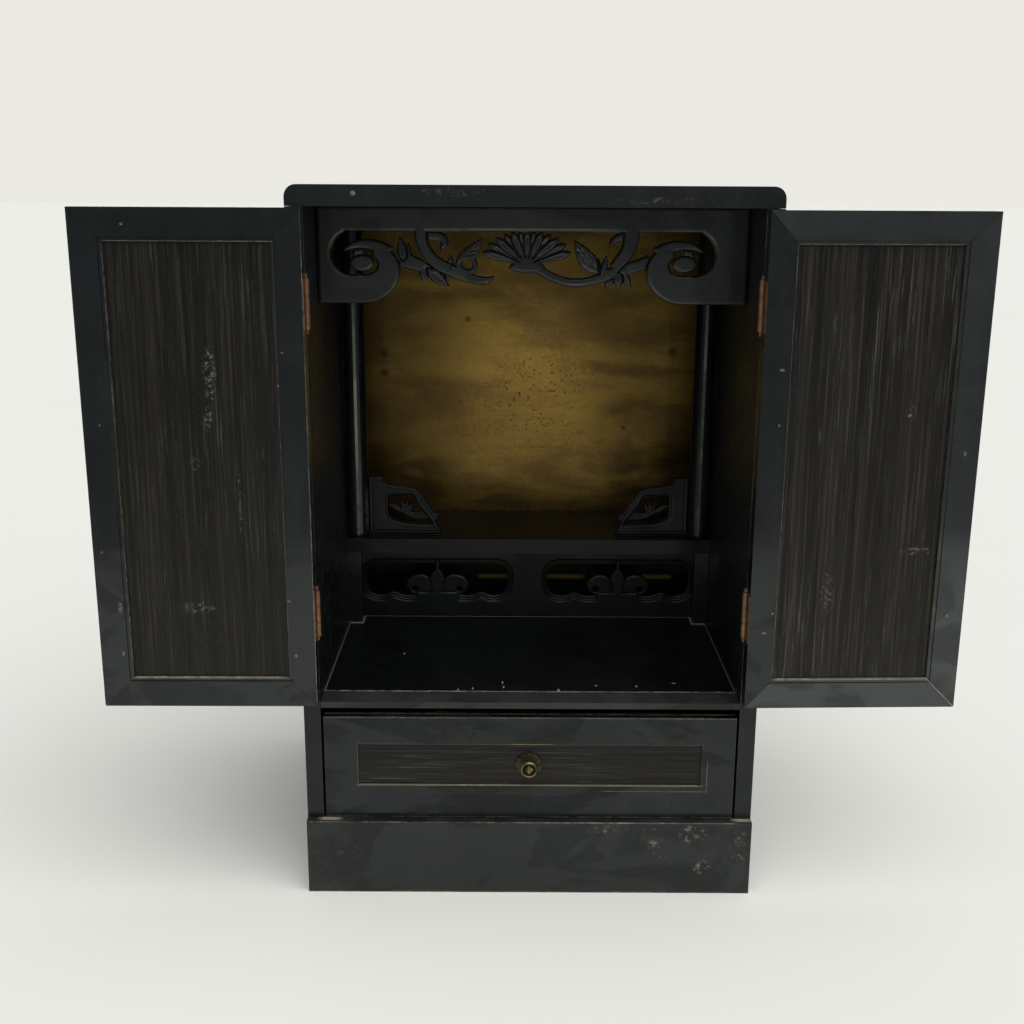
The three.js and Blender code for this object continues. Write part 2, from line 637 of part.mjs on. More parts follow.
// A door, made closed on the right side with its hinge edge at the outer end, and then turned open.
function door(name, side, openDeg) {
  const edge = INNER - DOOR_SIDE_CLEARANCE;
  const meeting = DOOR_CENTRE_CLEARANCE / 2;
  const bottom = LOWER_SHELF_TOP + DOOR_BOTTOM_CLEARANCE;
  const top = SIDE_TOP - DOOR_TOP_CLEARANCE;
  const axisX = INNER - HINGE_AXIS_INSET;
  const swing = new THREE.Group();
  swing.position.set(side * axisX, -HINGE_AXIS_PROUD, 0);
  swing.rotation.z = side * THREE.MathUtils.degToRad(openDeg);
  cabinet.add(swing);
  const place = (node, made, finish) =>
    add(node, mirrored(made.translate([-axisX, HINGE_AXIS_PROUD, 0]), side), finish, swing);

  const inner = { x0: meeting + MEETING_STILE, x1: edge - HINGE_STILE };
  inner.z0 = bottom + DOOR_RAIL;
  inner.z1 = top - DOOR_RAIL;
  const outer = { x0: meeting, x1: edge, z0: bottom, z1: top };
  // The four corners of a bar's end, moved by a share of the way from the inside of the frame outwards.
  const corner = (x, z, out) =>
    point(
      THREE.MathUtils.lerp(inner[x], outer[x], out),
      THREE.MathUtils.lerp(inner[z], outer[z], out),
    );
  // A mitred bar between two of the frame's corners, a hair short at both ends.
  const bar = (a, b, beadShare) => {
    const upright = a[0] === b[0];
    const middle = upright ? (bottom + top) / 2 : (meeting + edge) / 2;
    const trim = (p) =>
      upright
        ? point(p.x, p.y - (Math.sign(p.y - middle) * GAP) / 2)
        : point(p.x - (Math.sign(p.x - middle) * GAP) / 2, p.y);
    const outline = (share) => [corner(...a, 1), corner(...b, 1), corner(...b, share), corner(...a, share)];
    return frameBar(outline(0).map(trim), outline(beadShare).map(trim));
  };
  const beadOf = (width) => DOOR_BEAD / width;
  let hingeStile = bar(["x1", "z0"], ["x1", "z1"], beadOf(HINGE_STILE));
  const heights = hingeHeights();
  for (const middle of heights) {
    const reach = HINGE_LENGTH / 2 + GAP;
    hingeStile = hingeStile.subtract(
      block(edge - HINGE_MORTISE, edge + 1, -1, HINGE_LEAF_WIDTH + GAP, middle - reach, middle + reach),
    );
  }
  place(name + "_hinge_stile", hingeStile, LACQUER);
  place(
    name + "_meeting_stile",
    bar(["x0", "z0"], ["x0", "z1"], beadOf(MEETING_STILE)),
    LACQUER,
  );
  place(name + "_bottom_rail", bar(["x0", "z0"], ["x1", "z0"], beadOf(DOOR_RAIL)), LACQUER);
  place(name + "_top_rail", bar(["x0", "z1"], ["x1", "z1"], beadOf(DOOR_RAIL)), LACQUER);
  const panelFront = (DOOR_THICKNESS - DOOR_PANEL_THICKNESS) / 2;
  place(
    name + "_panel",
    block(
      inner.x0 + GAP,
      inner.x1 - GAP,
      panelFront,
      panelFront + DOOR_PANEL_THICKNESS,
      inner.z0 + GAP,
      inner.z1 - GAP,
    ),
    VENEER,
  );

  heights.forEach((middle, i) => {
    const label = "hinge_" + name.replace("door_", "") + (i ? "_upper" : "_lower");
    const [low, centre, high] = knuckleSpans(middle);
    const axisY = -HINGE_AXIS_PROUD;
    const radius = HINGE_BARREL_DIAMETER / 2;
    const bore = HINGE_PIN_DIAMETER / 2 + GAP;
    const clear = axisY + radius + GAP;
    const fixedFace = INNER + HINGE_MORTISE - GAP;
    const fixed = hingeLeaf(
      axisX,
      fixedFace - HINGE_LEAF_THICKNESS,
      fixedFace,
      middle,
      [low, high],
      axisY + bore - 0.2,
      Math.max(clear, 0),
    );
    add(label + "_side_leaf", mirrored(fixed, side), COPPER);
    const movingFace = edge - HINGE_MORTISE + GAP;
    const moving = hingeLeaf(
      axisX,
      movingFace,
      movingFace + HINGE_LEAF_THICKNESS,
      middle,
      [centre],
      axisY + bore + 0.1,
      Math.max(clear, 0),
    );
    place(label + "_door_leaf", moving, COPPER);
    const reach = HINGE_LENGTH / 2 + HINGE_PIN_TIP;
    const pin = upright(axisX, axisY, HINGE_PIN_DIAMETER / 2, middle - reach, middle + reach, 10);
    add(label + "_pin", mirrored(pin, side), COPPER);
  });
}

function drawer() {
  const half = INNER - DRAWER_SIDE_CLEARANCE;
  const bottom = PLINTH_HEIGHT + DRAWER_BOTTOM_CLEARANCE;
  const front = DRAWER_FRONT_THICKNESS;
  const panelLow = bottom + DRAWER_PANEL_RISE;
  const panelHigh = panelLow + DRAWER_PANEL_HEIGHT;
  const panelHalf = DRAWER_PANEL_WIDTH / 2;
  const seat = DRAWER_PANEL_DEPTH + DRAWER_BASE;
  const face = block(-half, half, 0, front, bottom, bottom + DRAWER_FRONT_HEIGHT);
  const recess = block(-panelHalf, panelHalf, -1, seat, panelLow, panelHigh);
  add("drawer_front", face.subtract(recess), LACQUER);
  add(
    "drawer_panel",
    block(
      -panelHalf + GAP,
      panelHalf - GAP,
      DRAWER_PANEL_DEPTH,
      seat - GAP,
      panelLow + GAP,
      panelHigh - GAP,
    ),
    VENEER,
  );

  const boxTop = bottom + DRAWER_BOX_HEIGHT;
  const start = front + GAP;
  const end = DEPTH - BACK_THICKNESS - DRAWER_BACK_CLEARANCE;
  const baseTop = bottom + DRAWER_BASE;
  const wall = half - DRAWER_WALL;
  add("drawer_base", block(-half, half, start, end, bottom, baseTop), BARE_WOOD);
  for (const [name, side] of [["left", -1], ["right", 1]]) {
    const board = block(wall, half, start, end, baseTop + GAP, boxTop);
    add("drawer_" + name, mirrored(board, side), BARE_WOOD);
  }
  const back = end - DRAWER_WALL;
  const reach = wall - GAP;
  add("drawer_back", block(-reach, reach, back, end, baseTop + GAP, boxTop), BARE_WOOD);
  knob(bottom + KNOB_RISE);
}

// A profile of radius and height turned about an axis that points forwards from the drawer's face.
function turned(profile, sides) {
  const geometry = new THREE.LatheGeometry(profile.map(([r, h]) => point(r, h)), sides);
  return solid(geometry.rotateX(Math.PI));
}

// The knob on its lobed rosette, both on the drawer's panel.
function knob(height) {
  const seat = DRAWER_PANEL_DEPTH - GAP;
  const rosetteFront = seat - ROSETTE_THICKNESS;
  const radius = ROSETTE_DIAMETER / 2;
  const rim = Array.from({ length: ROSETTE_LOBES * 4 }, (unused, i) => {
    const angle = (i / (ROSETTE_LOBES * 4)) * 2 * Math.PI;
    const wave = 0.93 + 0.07 * Math.abs(Math.cos((angle * ROSETTE_LOBES) / 2));
    return point(radius * wave * Math.cos(angle), height + radius * wave * Math.sin(angle));
  });
  add("knob_rosette", frontPrism(rim, rosetteFront, seat).translate([KNOB_SHIFT, 0, 0]), BRASS);

  const r = KNOB_DIAMETER / 2;
  const neck = KNOB_NECK_DIAMETER / 2;
  const reach = KNOB_PROJECTION;
  const profile = [
    [0, 0],
    [neck * 1.25, 0],
    [neck, reach * 0.25],
    [neck, reach * 0.45],
    [r * 0.9, reach * 0.62],
    [r, reach * 0.78],
    [r * 0.94, reach * 0.95],
    [r * 0.8, reach],
    [r * 0.68, reach * 0.9],
    [0, reach * 0.86],
  ];
  const made = turned(profile, 24);
  const diamond = [point(r * 0.36, 0), point(0, r * 0.36), point(-r * 0.36, 0), point(0, -r * 0.36)];
  const recess = frontPrism(diamond, -reach - 1, -reach * 0.72);
  const piece = made.subtract(recess);
  add("drawer_knob", piece.translate([KNOB_SHIFT, rosetteFront - GAP, height]), BRASS);
}

carcase();
sidePanel("side_left", -1);
sidePanel("side_right", 1);
shelves();
apron();
bracket("bracket_left", -1);
bracket("bracket_right", 1);
transom();
door("door_left", -1, LEFT_DOOR_OPEN_DEG);
door("door_right", 1, RIGHT_DOOR_OPEN_DEG);
drawer();

// The cabinet stands on its own centre: the middle of its box, at the floor.
const bounds = new THREE.Box3().setFromObject(cabinet);
const centre = bounds.getCenter(new THREE.Vector3());
cabinet.position.set(-centre.x, -centre.y, -bounds.min.z);

export default cabinet;
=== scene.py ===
import math

import bmesh
import bpy
import numpy as np
from mathutils import Matrix, Vector, geometry


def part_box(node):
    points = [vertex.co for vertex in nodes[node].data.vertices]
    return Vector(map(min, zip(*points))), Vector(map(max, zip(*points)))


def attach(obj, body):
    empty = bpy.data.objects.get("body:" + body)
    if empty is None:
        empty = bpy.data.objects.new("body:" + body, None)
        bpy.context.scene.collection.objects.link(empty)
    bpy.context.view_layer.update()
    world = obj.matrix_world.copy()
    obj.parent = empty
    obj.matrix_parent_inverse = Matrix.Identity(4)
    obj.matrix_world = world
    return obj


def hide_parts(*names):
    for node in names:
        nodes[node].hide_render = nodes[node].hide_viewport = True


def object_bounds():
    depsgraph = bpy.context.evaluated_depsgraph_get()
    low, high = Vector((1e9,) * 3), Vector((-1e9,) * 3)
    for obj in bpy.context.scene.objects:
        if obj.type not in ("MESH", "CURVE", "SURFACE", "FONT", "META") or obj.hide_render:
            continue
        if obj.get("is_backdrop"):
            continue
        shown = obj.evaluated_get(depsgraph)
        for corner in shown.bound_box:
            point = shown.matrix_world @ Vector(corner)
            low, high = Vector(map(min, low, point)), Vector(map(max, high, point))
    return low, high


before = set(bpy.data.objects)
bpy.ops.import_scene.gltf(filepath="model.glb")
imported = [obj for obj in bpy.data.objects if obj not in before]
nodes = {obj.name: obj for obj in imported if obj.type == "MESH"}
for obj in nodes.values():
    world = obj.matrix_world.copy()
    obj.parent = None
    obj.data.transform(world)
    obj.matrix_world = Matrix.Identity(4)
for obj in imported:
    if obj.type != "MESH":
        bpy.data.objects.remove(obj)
cad_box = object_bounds()

MM = 0.001

# The cabinet's own frame: X from the middle of the carcase, Y back from the side panels' front edges.
right_low, right_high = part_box("side_right")
MIDDLE = (right_high.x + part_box("side_left")[0].x) / 2
FRONT = right_low.y


def place(x, y, z):
    """A point given in millimetres in the cabinet's own frame."""
    return Vector((MIDDLE + x * MM, FRONT + y * MM, z * MM))


def across(x):
    """A place across the cabinet, in millimetres from its middle, as a coordinate."""
    return place(x, 0, 0).x


def deep(y):
    """A place behind the side panels' front edges, in millimetres, as a coordinate."""
    return place(0, y, 0).y


def span(x0, x1):
    """Two places across the cabinet, in millimetres, as coordinates."""
    return (across(x0), across(x1))


# Camera, at the photograph's viewpoint.
CAMERA_PLACE = place(-17.0, -939.3, 571.5)
CAMERA_YAW = math.radians(0.075)
CAMERA_PITCH = math.radians(14.465)
CAMERA_ROLL = math.radians(-0.306)
CAMERA_LENS = 43.55

# Light: the room's brightness low down, at the ceiling and to the front, and where the floor ends.
ROOM_LOW = 0.022
ROOM_CEILING = 0.5
ROOM_FRONT = 0.235
SUN_POWER = 2.65
CARD_POWER = 0.8
FLOOR_FRONT = -1.2
FLOOR_SIZE = 60


def make_camera():
    forward = Vector((
        math.sin(CAMERA_YAW) * math.cos(CAMERA_PITCH),
        math.cos(CAMERA_YAW) * math.cos(CAMERA_PITCH),
        -math.sin(CAMERA_PITCH),
    ))
    right = Vector((math.cos(CAMERA_YAW), -math.sin(CAMERA_YAW), 0))
    down = forward.cross(right)
    image_right = math.cos(CAMERA_ROLL) * right + math.sin(CAMERA_ROLL) * down
    image_down = -math.sin(CAMERA_ROLL) * right + math.cos(CAMERA_ROLL) * down
    turn = Matrix((image_right, -image_down, -forward)).transposed()
    data = bpy.data.cameras.new("camera")
    data.lens = CAMERA_LENS
    data.sensor_width = 36
    data.clip_start = 0.01
    data.clip_end = 100
    camera = bpy.data.objects.new("camera", data)
    camera.matrix_world = Matrix.Translation(CAMERA_PLACE) @ turn.to_4x4()
    bpy.context.scene.collection.objects.link(camera)
    bpy.context.scene.camera = camera


# Materials.
class Shader:
    """One procedural material, built with short calls. Places are in the object's own coordinates."""

    def __init__(self, name):
        self.material = bpy.data.materials.new(name)
        self.material.use_nodes = True
        self.tree = self.material.node_tree
        self.tree.nodes.clear()
        self.output = self.node("ShaderNodeOutputMaterial")
        self.surface = self.node("ShaderNodeBsdfPrincipled")
        self.link(self.surface.outputs["BSDF"], self.output.inputs["Surface"])
        self.place = self.node("ShaderNodeTexCoord").outputs["Object"]

    def node(self, kind, **settings):
        made = self.tree.nodes.new(kind)
        for key, value in settings.items():
            setattr(made, key, value)
        return made

    def link(self, a, b):
        self.tree.links.new(a, b)

    def put(self, socket, value):
        if isinstance(value, bpy.types.NodeSocket):
            self.link(value, socket)
        elif isinstance(value, (tuple, list)) and len(value) == 3 and socket.type == "RGBA":
            socket.default_value = (*value, 1)
        else:
            socket.default_value = value

    def set(self, name, value):
        self.put(self.surface.inputs[name], value)

    def math(self, operation, a, b=0.0):
        made = self.node("ShaderNodeMath", operation=operation)
        self.put(made.inputs[0], a)
        if operation not in ("ABSOLUTE", "SQRT"):
            self.put(made.inputs[1], b)
        return made.outputs[0]

    def add(self, a, b):
        return self.math("ADD", a, b)

    def times(self, a, b):
        return self.math("MULTIPLY", a, b)

    def step(self, value, low, high, to_low=0.0, to_high=1.0):
        """A soft step of the value between low and high."""
        made = self.node("ShaderNodeMapRange", interpolation_type="SMOOTHSTEP", clamp=True)
        self.put(made.inputs["Value"], value)
        self.put(made.inputs["From Min"], low)
        self.put(made.inputs["From Max"], high)
        self.put(made.inputs["To Min"], to_low)
        self.put(made.inputs["To Max"], to_high)
        return made.outputs["Result"]

    def mix(self, share, a, b):
        made = self.node("ShaderNodeMix", data_type="RGBA", clamp_factor=True)
        self.put(made.inputs["Factor"], share)
        self.put(made.inputs[6], a)
        self.put(made.inputs[7], b)
        return made.outputs[2]

    def stretched(self, scale, shift=(0, 0, 0)):
        made = self.node("ShaderNodeMapping")
        self.link(self.place, made.inputs["Vector"])
        made.inputs["Location"].default_value = shift
        made.inputs["Scale"].default_value = scale
        return made.outputs["Vector"]

    def noise(self, scale, detail=3.0, roughness=0.55, stretch=None, distortion=0.0, shift=(0, 0, 0)):
        made = self.node("ShaderNodeTexNoise")
        where = self.stretched(stretch or (1, 1, 1), shift=shift)
        self.link(where, made.inputs["Vector"])
        made.inputs["Scale"].default_value = scale
        made.inputs["Detail"].default_value = detail
        made.inputs["Roughness"].default_value = roughness
        made.inputs["Distortion"].default_value = distortion
        return made.outputs["Fac"]

    def bump(self, height, distance=0.0005, strength=1.0):
        made = self.node("ShaderNodeBump")
        made.inputs["Strength"].default_value = strength
        made.inputs["Distance"].default_value = distance
        self.link(height, made.inputs["Height"])
        self.link(made.outputs["Normal"], self.surface.inputs["Normal"])

    def axes(self, turn=0.0, pivot=(0, 0)):
        """X, Y and Z of the place, turned back about an upright axis first."""
        about = self.node("ShaderNodeVectorRotate", rotation_type="Z_AXIS")
        self.link(self.place, about.inputs["Vector"])
        about.inputs["Center"].default_value = (pivot[0], pivot[1], 0)
        about.inputs["Angle"].default_value = turn
        split = self.node("ShaderNodeSeparateXYZ")
        self.link(about.outputs["Vector"], split.inputs[0])
        return split.outputs

    def upward(self):
        split = self.node("ShaderNodeSeparateXYZ")
        self.link(self.node("ShaderNodeNewGeometry").outputs["Normal"], split.inputs[0])
        return split.outputs["Z"]

    def edge_distance(self, low, high, axes):
        """How far a point on a box's surface is from the nearest edge of the box."""
        near = []
        for i in range(3):
            down = self.math("ABSOLUTE", self.math("SUBTRACT", axes[i], low[i]))
            up = self.math("ABSOLUTE", self.math("SUBTRACT", axes[i], high[i]))
            near.append(self.math("MINIMUM", down, up))
        small = self.math("MINIMUM", near[0], near[1])
        large = self.math("MAXIMUM", near[0], near[1])
        return self.math("MAXIMUM", small, self.math("MINIMUM", large, near[2]))

    def ellipse(self, u, v, middle, wide, high):
        """Nought in the middle of an ellipse and one on its edge."""
        u = self.times(self.math("SUBTRACT", u, middle[0]), 1 / wide)
        v = self.times(self.math("SUBTRACT", v, middle[1]), 1 / high)
        return self.add(self.times(u, u), self.times(v, v))

    def line(self, axes, along, at, width, strength=1.0, reach=None):
        """A mask round a line that runs along one axis, at two places on the other axes."""
        others = [i for i in range(3) if i != along]
        parts = []
        for i, value in zip(others, at):
            if value is not None:
                gap = self.math("SUBTRACT", axes[i], value)
                parts.append(self.times(gap, gap))
        far = self.math("SQRT", parts[0] if len(parts) == 1 else self.add(*parts))
        mask = self.step(far, width, width * 0.35, 0.0, strength)
        if reach:
            fade = 0.004
            inside = self.step(axes[along], reach[0] - fade, reach[0] + fade)
            inside = self.times(inside, self.step(axes[along], reach[1] + fade, reach[1] - fade))
            mask = self.times(mask, inside)
        return mask


# Colours of the lacquer, of what lies on it, and of the dirt in its joints. The dust colour also paints a
# highlight on the left pillar.
LACQUER_BLACK = (0.0035, 0.0045, 0.0048)
LACQUER_WORN = (0.035, 0.034, 0.028)
DUST_AND_HIGHLIGHT = (0.1, 0.105, 0.095)
CREAM = (0.3, 0.27, 0.2)

# A stain narrower than this is a small whole chip, and a wider one is torn into flecks.
SMALL_CHIP = 0.003


def node_box(name, turn=0.0, pivot=(0, 0)):
    """A node's box after it is turned back about an upright axis, as two corners."""
    about = Matrix.Rotation(turn, 3, "Z")
    centre = Vector((pivot[0], pivot[1], 0))
    points = [about @ (v.co - centre) + centre for v in nodes[name].data.vertices]
    low = [min(p[i] for p in points) for i in range(3)]
    high = [max(p[i] for p in points) for i in range(3)]
    return low, high


def lacquer(name, box=None, turn=0.0, pivot=(0, 0), dust=0.4, wear=0.6, lines=(), stains=(),
            gloss=0.16, tint=LACQUER_BLACK, up_dust=0.5, coat=0.2, shine=0.42, flat=False, shift=0.0):
    """Black lacquer: a hard gloss with smears, thin dust, worn arrises and pale lines where dirt sits. Lines
    also carry painted light: a highlight and a lit strip.

    A line is the axis it runs along, its places on the other two axes, its width, strength and reach along
    the axis, its colour and the share of it that is unbroken. A stain is its X, its height (its depth on a
    flat piece), its half width and half height and its strength.
    """
    s = Shader(name)
    axes = s.axes(turn, pivot)
    move = (shift, shift * 1.7, shift * 0.6)
    cloud = s.noise(9, 4, 0.6, shift=move)
    fine = s.noise(160, 3, 0.6, shift=move)
    grit = s.noise(900, 2, 0.5, shift=move)
    smear = s.noise(14, 5, 0.65, stretch=(1, 1, 0.35), distortion=0.8, shift=move)
    colour = s.mix(s.step(cloud, 0.35, 0.75), tint, tuple(c * 1.9 for c in tint))
    wiped = s.step(s.noise(11, 4, 0.55, stretch=(1, 1, 1.8), distortion=1.2, shift=move), 0.48, 0.58)
    haze = s.add(s.times(wiped, 0.3), s.times(s.step(smear, 0.46, 0.78), 0.7))
    haze = s.times(haze, s.step(fine, 0.2, 0.6))
    colour = s.mix(s.times(haze, 0.12 * dust), colour, DUST_AND_HIGHLIGHT)
    specks = s.times(s.step(grit, 0.66, 0.74), s.step(fine, 0.42, 0.62))
    colour = s.mix(s.times(specks, 0.25 * dust), colour, DUST_AND_HIGHLIGHT)
    top = s.times(s.step(s.upward(), 0.6, 0.95), s.step(s.noise(30, 4, 0.7, shift=move), 0.35, 0.75))
    colour = s.mix(s.times(top, up_dust * 0.3), colour, DUST_AND_HIGHLIGHT)
    rough = s.add(s.times(s.step(smear, 0.35, 0.8), 0.12), gloss)
    rough = s.add(rough, s.times(wiped, 0.1 * dust))
    rough = s.add(rough, s.times(top, 0.25 * up_dust))
    if box:
        ragged = s.times(s.math("SUBTRACT", s.noise(260, 3, 0.6, shift=move), 0.5), 0.0016)
        edge = s.add(s.edge_distance(box[0], box[1], axes), ragged)
        chips = s.step(s.noise(55, 4, 0.7, shift=move), 0.5, 0.66)
        worn = s.times(s.step(edge, 0.0011, 0.0003), s.add(s.times(chips, 0.75), 0.18))
        colour = s.mix(s.times(worn, wear), colour, LACQUER_WORN)
        rough = s.add(rough, s.times(worn, 0.3))
    torn = s.step(s.noise(230, 6, 0.75, distortion=0.6, shift=move), 0.5, 0.62)
    torn = s.times(torn, s.step(s.noise(70, 3, 0.6, shift=move), 0.4, 0.56))
    whole_chip = s.step(s.noise(420, 4, 0.7, shift=move), 0.36, 0.5)
    for x, z, wide, high, strength in stains:
        far = s.ellipse(axes[0], axes[1 if flat else 2], (x, z), wide, high)
        spot = s.times(s.step(far, 1.0, 0.2), whole_chip if wide < SMALL_CHIP else torn)
        colour = s.mix(s.times(spot, strength), colour, CREAM)
        rough = s.add(rough, s.times(spot, 0.3))
    broken = s.step(s.noise(190, 3, 0.65, shift=move), 0.36, 0.62)
    broken = s.times(broken, s.step(s.noise(26, 2, 0.5, shift=move), 0.3, 0.6))
    for along, at, width, strength, reach, shade, whole in lines:
        mask = s.line(axes, along, at, width, strength, reach)
        mask = s.times(mask, s.add(s.times(broken, 1 - whole), whole))
        colour = s.mix(mask, colour, shade)
        rough = s.add(rough, s.times(mask, 0.5))
    s.set("Base Color", colour)
    s.set("Roughness", rough)
    s.set("Coat Weight", coat)
    s.set("Coat Roughness", 0.06)
    s.set("Specular IOR Level", s.add(s.times(wiped, -0.45 * shine * dust), shine))
    s.set("Specular Tint", (0.92, 1.0, 0.99))
    height = s.add(s.times(cloud, 0.5), s.times(s.noise(60, 3, 0.5, shift=move), 0.12))
    s.bump(height, 0.0008, 0.1)
    return s.material


def veneer(name, turn=0.0, pivot=(0, 0), along=2, scuffs=(), tone=1.0, shift=0.0):
    """Dark ebony-like veneer with fine straight streaks, satin, with pale scuffs. A lower tone is darker."""
    s = Shader(name)
    axes = s.axes(turn, pivot)
    long_way = [1.0, 1.0, 1.0]
    long_way[along] = 0.012
    if along == 2:
        long_way[1] = 0.0
    move = (shift, 0, shift)
    wave = s.noise(6, 2, 0.5, shift=move)
    streak = s.noise(420, 4, 0.7, stretch=long_way, distortion=0.15, shift=move)
    broad = s.noise(75, 3, 0.6, stretch=long_way, shift=move)
    band = s.noise(22, 2, 0.5, stretch=long_way, shift=move)
    colour = s.mix(s.step(broad, 0.3, 0.72), (0.0058, 0.0052, 0.0044), (0.019, 0.016, 0.0115))
    colour = s.mix(s.times(s.step(streak, 0.5, 0.72), 0.8), colour, (0.056, 0.047, 0.031))
    colour = s.mix(s.times(s.step(streak, 0.46, 0.34), 0.9), colour, (0.0028, 0.0026, 0.0025))
    colour = s.mix(s.times(s.step(band, 0.55, 0.72), 0.3), colour, (0.03, 0.018, 0.011))
    colour = s.mix(s.times(s.step(wave, 0.5, 0.8), 0.25), colour, (0.012, 0.011, 0.011))
    short_way = [1.0, 1.0, 1.0]
    short_way[along] = 0.022
    fibre = s.noise(620, 5, 0.75, stretch=short_way, shift=move)
    worn = s.step(s.noise(9, 4, 0.6, shift=move), 0.4, 0.65)
    fibres = s.times(s.step(fibre, 0.54, 0.66), s.add(s.times(worn, 0.55), 0.3))
    colour = s.mix(fibres, colour, (0.094, 0.094, 0.079))
    rough = s.add(s.times(streak, 0.25), 0.26)
    rubbed = s.step(s.noise(330, 4, 0.75, shift=move), 0.5, 0.64)
    for x, z, wide, high, strength in scuffs:
        spot = s.times(s.step(s.ellipse(axes[0], axes[2], (x, z), wide, high), 1.0, 0.1), rubbed)
        colour = s.mix(s.times(spot, strength), colour, (0.33, 0.32, 0.3))
        rough = s.add(rough, s.times(spot, 0.3))
    colour = s.mix(1 - tone, colour, (0.0035, 0.0035, 0.0032))
    dusty = s.times(s.step(s.noise(800, 2, 0.5), 0.66, 0.72), 0.25)
    colour = s.mix(dusty, colour, DUST_AND_HIGHLIGHT)
    s.set("Base Color", colour)
    s.set("Roughness", rough)
    s.set("Specular IOR Level", 0.2)
    s.set("Coat Weight", 0.03)
    s.set("Coat Roughness", 0.2)
    s.bump(streak, 0.0004, 0.35)
    return s.material


def gold():
    """Aged gilding: mottled metal with brown stains, dark specks and a thin crack."""
    s = Shader("gold_leaf")
    axes = s.axes()
    mottle = s.noise(20, 7, 0.66, stretch=(0.45, 1, 1.3), distortion=0.4)
    soft = s.noise(7, 3, 0.5, stretch=(0.5, 1, 1.4))
    fine = s.noise(170, 5, 0.7)
    thick = s.step(s.noise(12, 3, 0.5), 0.42, 0.6)
    specks = s.times(s.step(s.noise(420, 4, 0.7), 0.6, 0.66), s.add(s.times(thick, 0.75), 0.25))
    colour = s.mix(s.step(mottle, 0.38, 0.62), (0.078, 0.049, 0.0145), (0.165, 0.107, 0.0255))
    colour = s.mix(s.times(s.step(soft, 0.42, 0.7), 0.5), colour, (0.085, 0.053, 0.015))
    colour = s.mix(s.times(s.step(fine, 0.55, 0.75), 0.35), colour, (0.056, 0.033, 0.0095))
    colour = s.mix(s.times(specks, 0.9), colour, (0.018, 0.012, 0.006))
    dots = s.node("ShaderNodeTexVoronoi", voronoi_dimensions="2D")
    face = s.node("ShaderNodeCombineXYZ")
    s.link(axes[0], face.inputs["X"])
    s.link(axes[2], face.inputs["Y"])
    s.link(face.outputs[0], dots.inputs["Vector"])
    dots.inputs["Scale"].default_value = 170
    heart = place(8, 0, 375)
    crowd = s.step(s.ellipse(axes[0], axes[2], (heart.x, heart.z), 0.07, 0.06), 1.0, 0.1)
    chosen = s.step(s.noise(130, 2, 0.5, shift=(3, 0, 1)), 0.5, 0.54)
    dot = s.times(s.step(dots.outputs["Distance"], 0.2, 0.1), chosen)
    dot = s.times(dot, s.add(s.times(crowd, 0.85), 0.1))
    colour = s.mix(dot, colour, (0.02, 0.014, 0.007))
    crack = place(0, 0, 322).z
    wander = s.times(s.math("SUBTRACT", s.noise(9, 4, 0.6), 0.5), 0.012)
    far = s.math("ABSOLUTE", s.add(s.math("SUBTRACT", axes[2], crack), wander))
    broken = s.step(s.noise(40, 3, 0.6), 0.4, 0.6)
    cracked = s.times(s.step(far, 0.0011, 0.0002), broken)
    colour = s.mix(s.times(cracked, 0.55), colour, (0.06, 0.035, 0.012))
    ragged = s.times(s.math("SUBTRACT", fine, 0.5), 0.006)
    for x, z, size in ((-143, 416, 5.5), (-143, 397, 5.5), (143, 419, 6.5), (96, 343, 3.5), (-60, 450, 4)):
        spot = place(x, 0, z)
        near = s.math("SQRT", s.ellipse(axes[0], axes[2], (spot.x, spot.z), 1, 1))
        stain = s.step(s.add(near, ragged), size * MM, size * MM * 0.4)
        colour = s.mix(s.times(stain, 0.75), colour, (0.04, 0.02, 0.01))
    s.set("Base Color", colour)
    s.set("Metallic", 0.72)
    s.set("Specular IOR Level", 0.2)
    bright = s.step(s.noise(2400, 2, 0.6), 0.4, 0.6)
    rough = s.add(s.times(s.step(mottle, 0.3, 0.75), 0.05), 0.45)
    s.set("Roughness", s.add(s.times(bright, -0.33), rough))
    s.bump(s.add(mottle, s.times(fine, 0.3)), 0.0003, 0.1)
    return s.material


def metal(name, bright, dark, rough):
    """Old tarnished metal with a dark patina in patches."""
    s = Shader(name)
    patina = s.noise(130, 5, 0.7)
    colour = s.mix(s.step(patina, 0.38, 0.66), bright, dark)
    grime = s.step(s.noise(600, 3, 0.6), 0.55, 0.7)
    colour = s.mix(s.times(grime, 0.5), colour, tuple(c * 0.35 for c in dark))
    s.set("Base Color", colour)
    s.set("Metallic", 0.85)
    s.set("Roughness", s.add(s.times(patina, 0.3), rough))
    s.bump(patina, 0.0002, 0.4)
    return s.material


def bare_wood(name):
    """Plain unfinished softwood, grey with age."""
    s = Shader(name)
    grain = s.noise(150, 4, 0.65, stretch=(1, 0.04, 1))
    broad = s.noise(18, 3, 0.5, stretch=(1, 0.15, 1))
    colour = s.mix(s.step(grain, 0.35, 0.7), (0.2, 0.125, 0.062), (0.33, 0.22, 0.12))
    colour = s.mix(s.times(s.step(broad, 0.4, 0.7), 0.5), colour, (0.14, 0.085, 0.045))
    s.set("Base Color", colour)
    s.set("Roughness", 0.72)
    s.bump(grain, 0.0003, 0.4)
    return s.material


def paint(node, material):
    data = nodes[node].data
    data.materials.clear()
    data.materials.append(material)


def ease(node, width, steps=2):
    """Eased arrises on a board."""
    made = nodes[node].modifiers.new("arris", "BEVEL")
    made.width = width
    made.segments = steps
    made.limit_method = "ANGLE"
    made.angle_limit = math.radians(40)
    made.use_clamp_overlap = True


# Carved relief.
def segments(lines):
    """Polylines of (x, z) as an array of segments: start x, start z, end x, end z."""
    rows = [(*a, *b) for line in lines for a, b in zip(line, line[1:])]
    return np.array(rows, dtype=float).reshape(-1, 4)


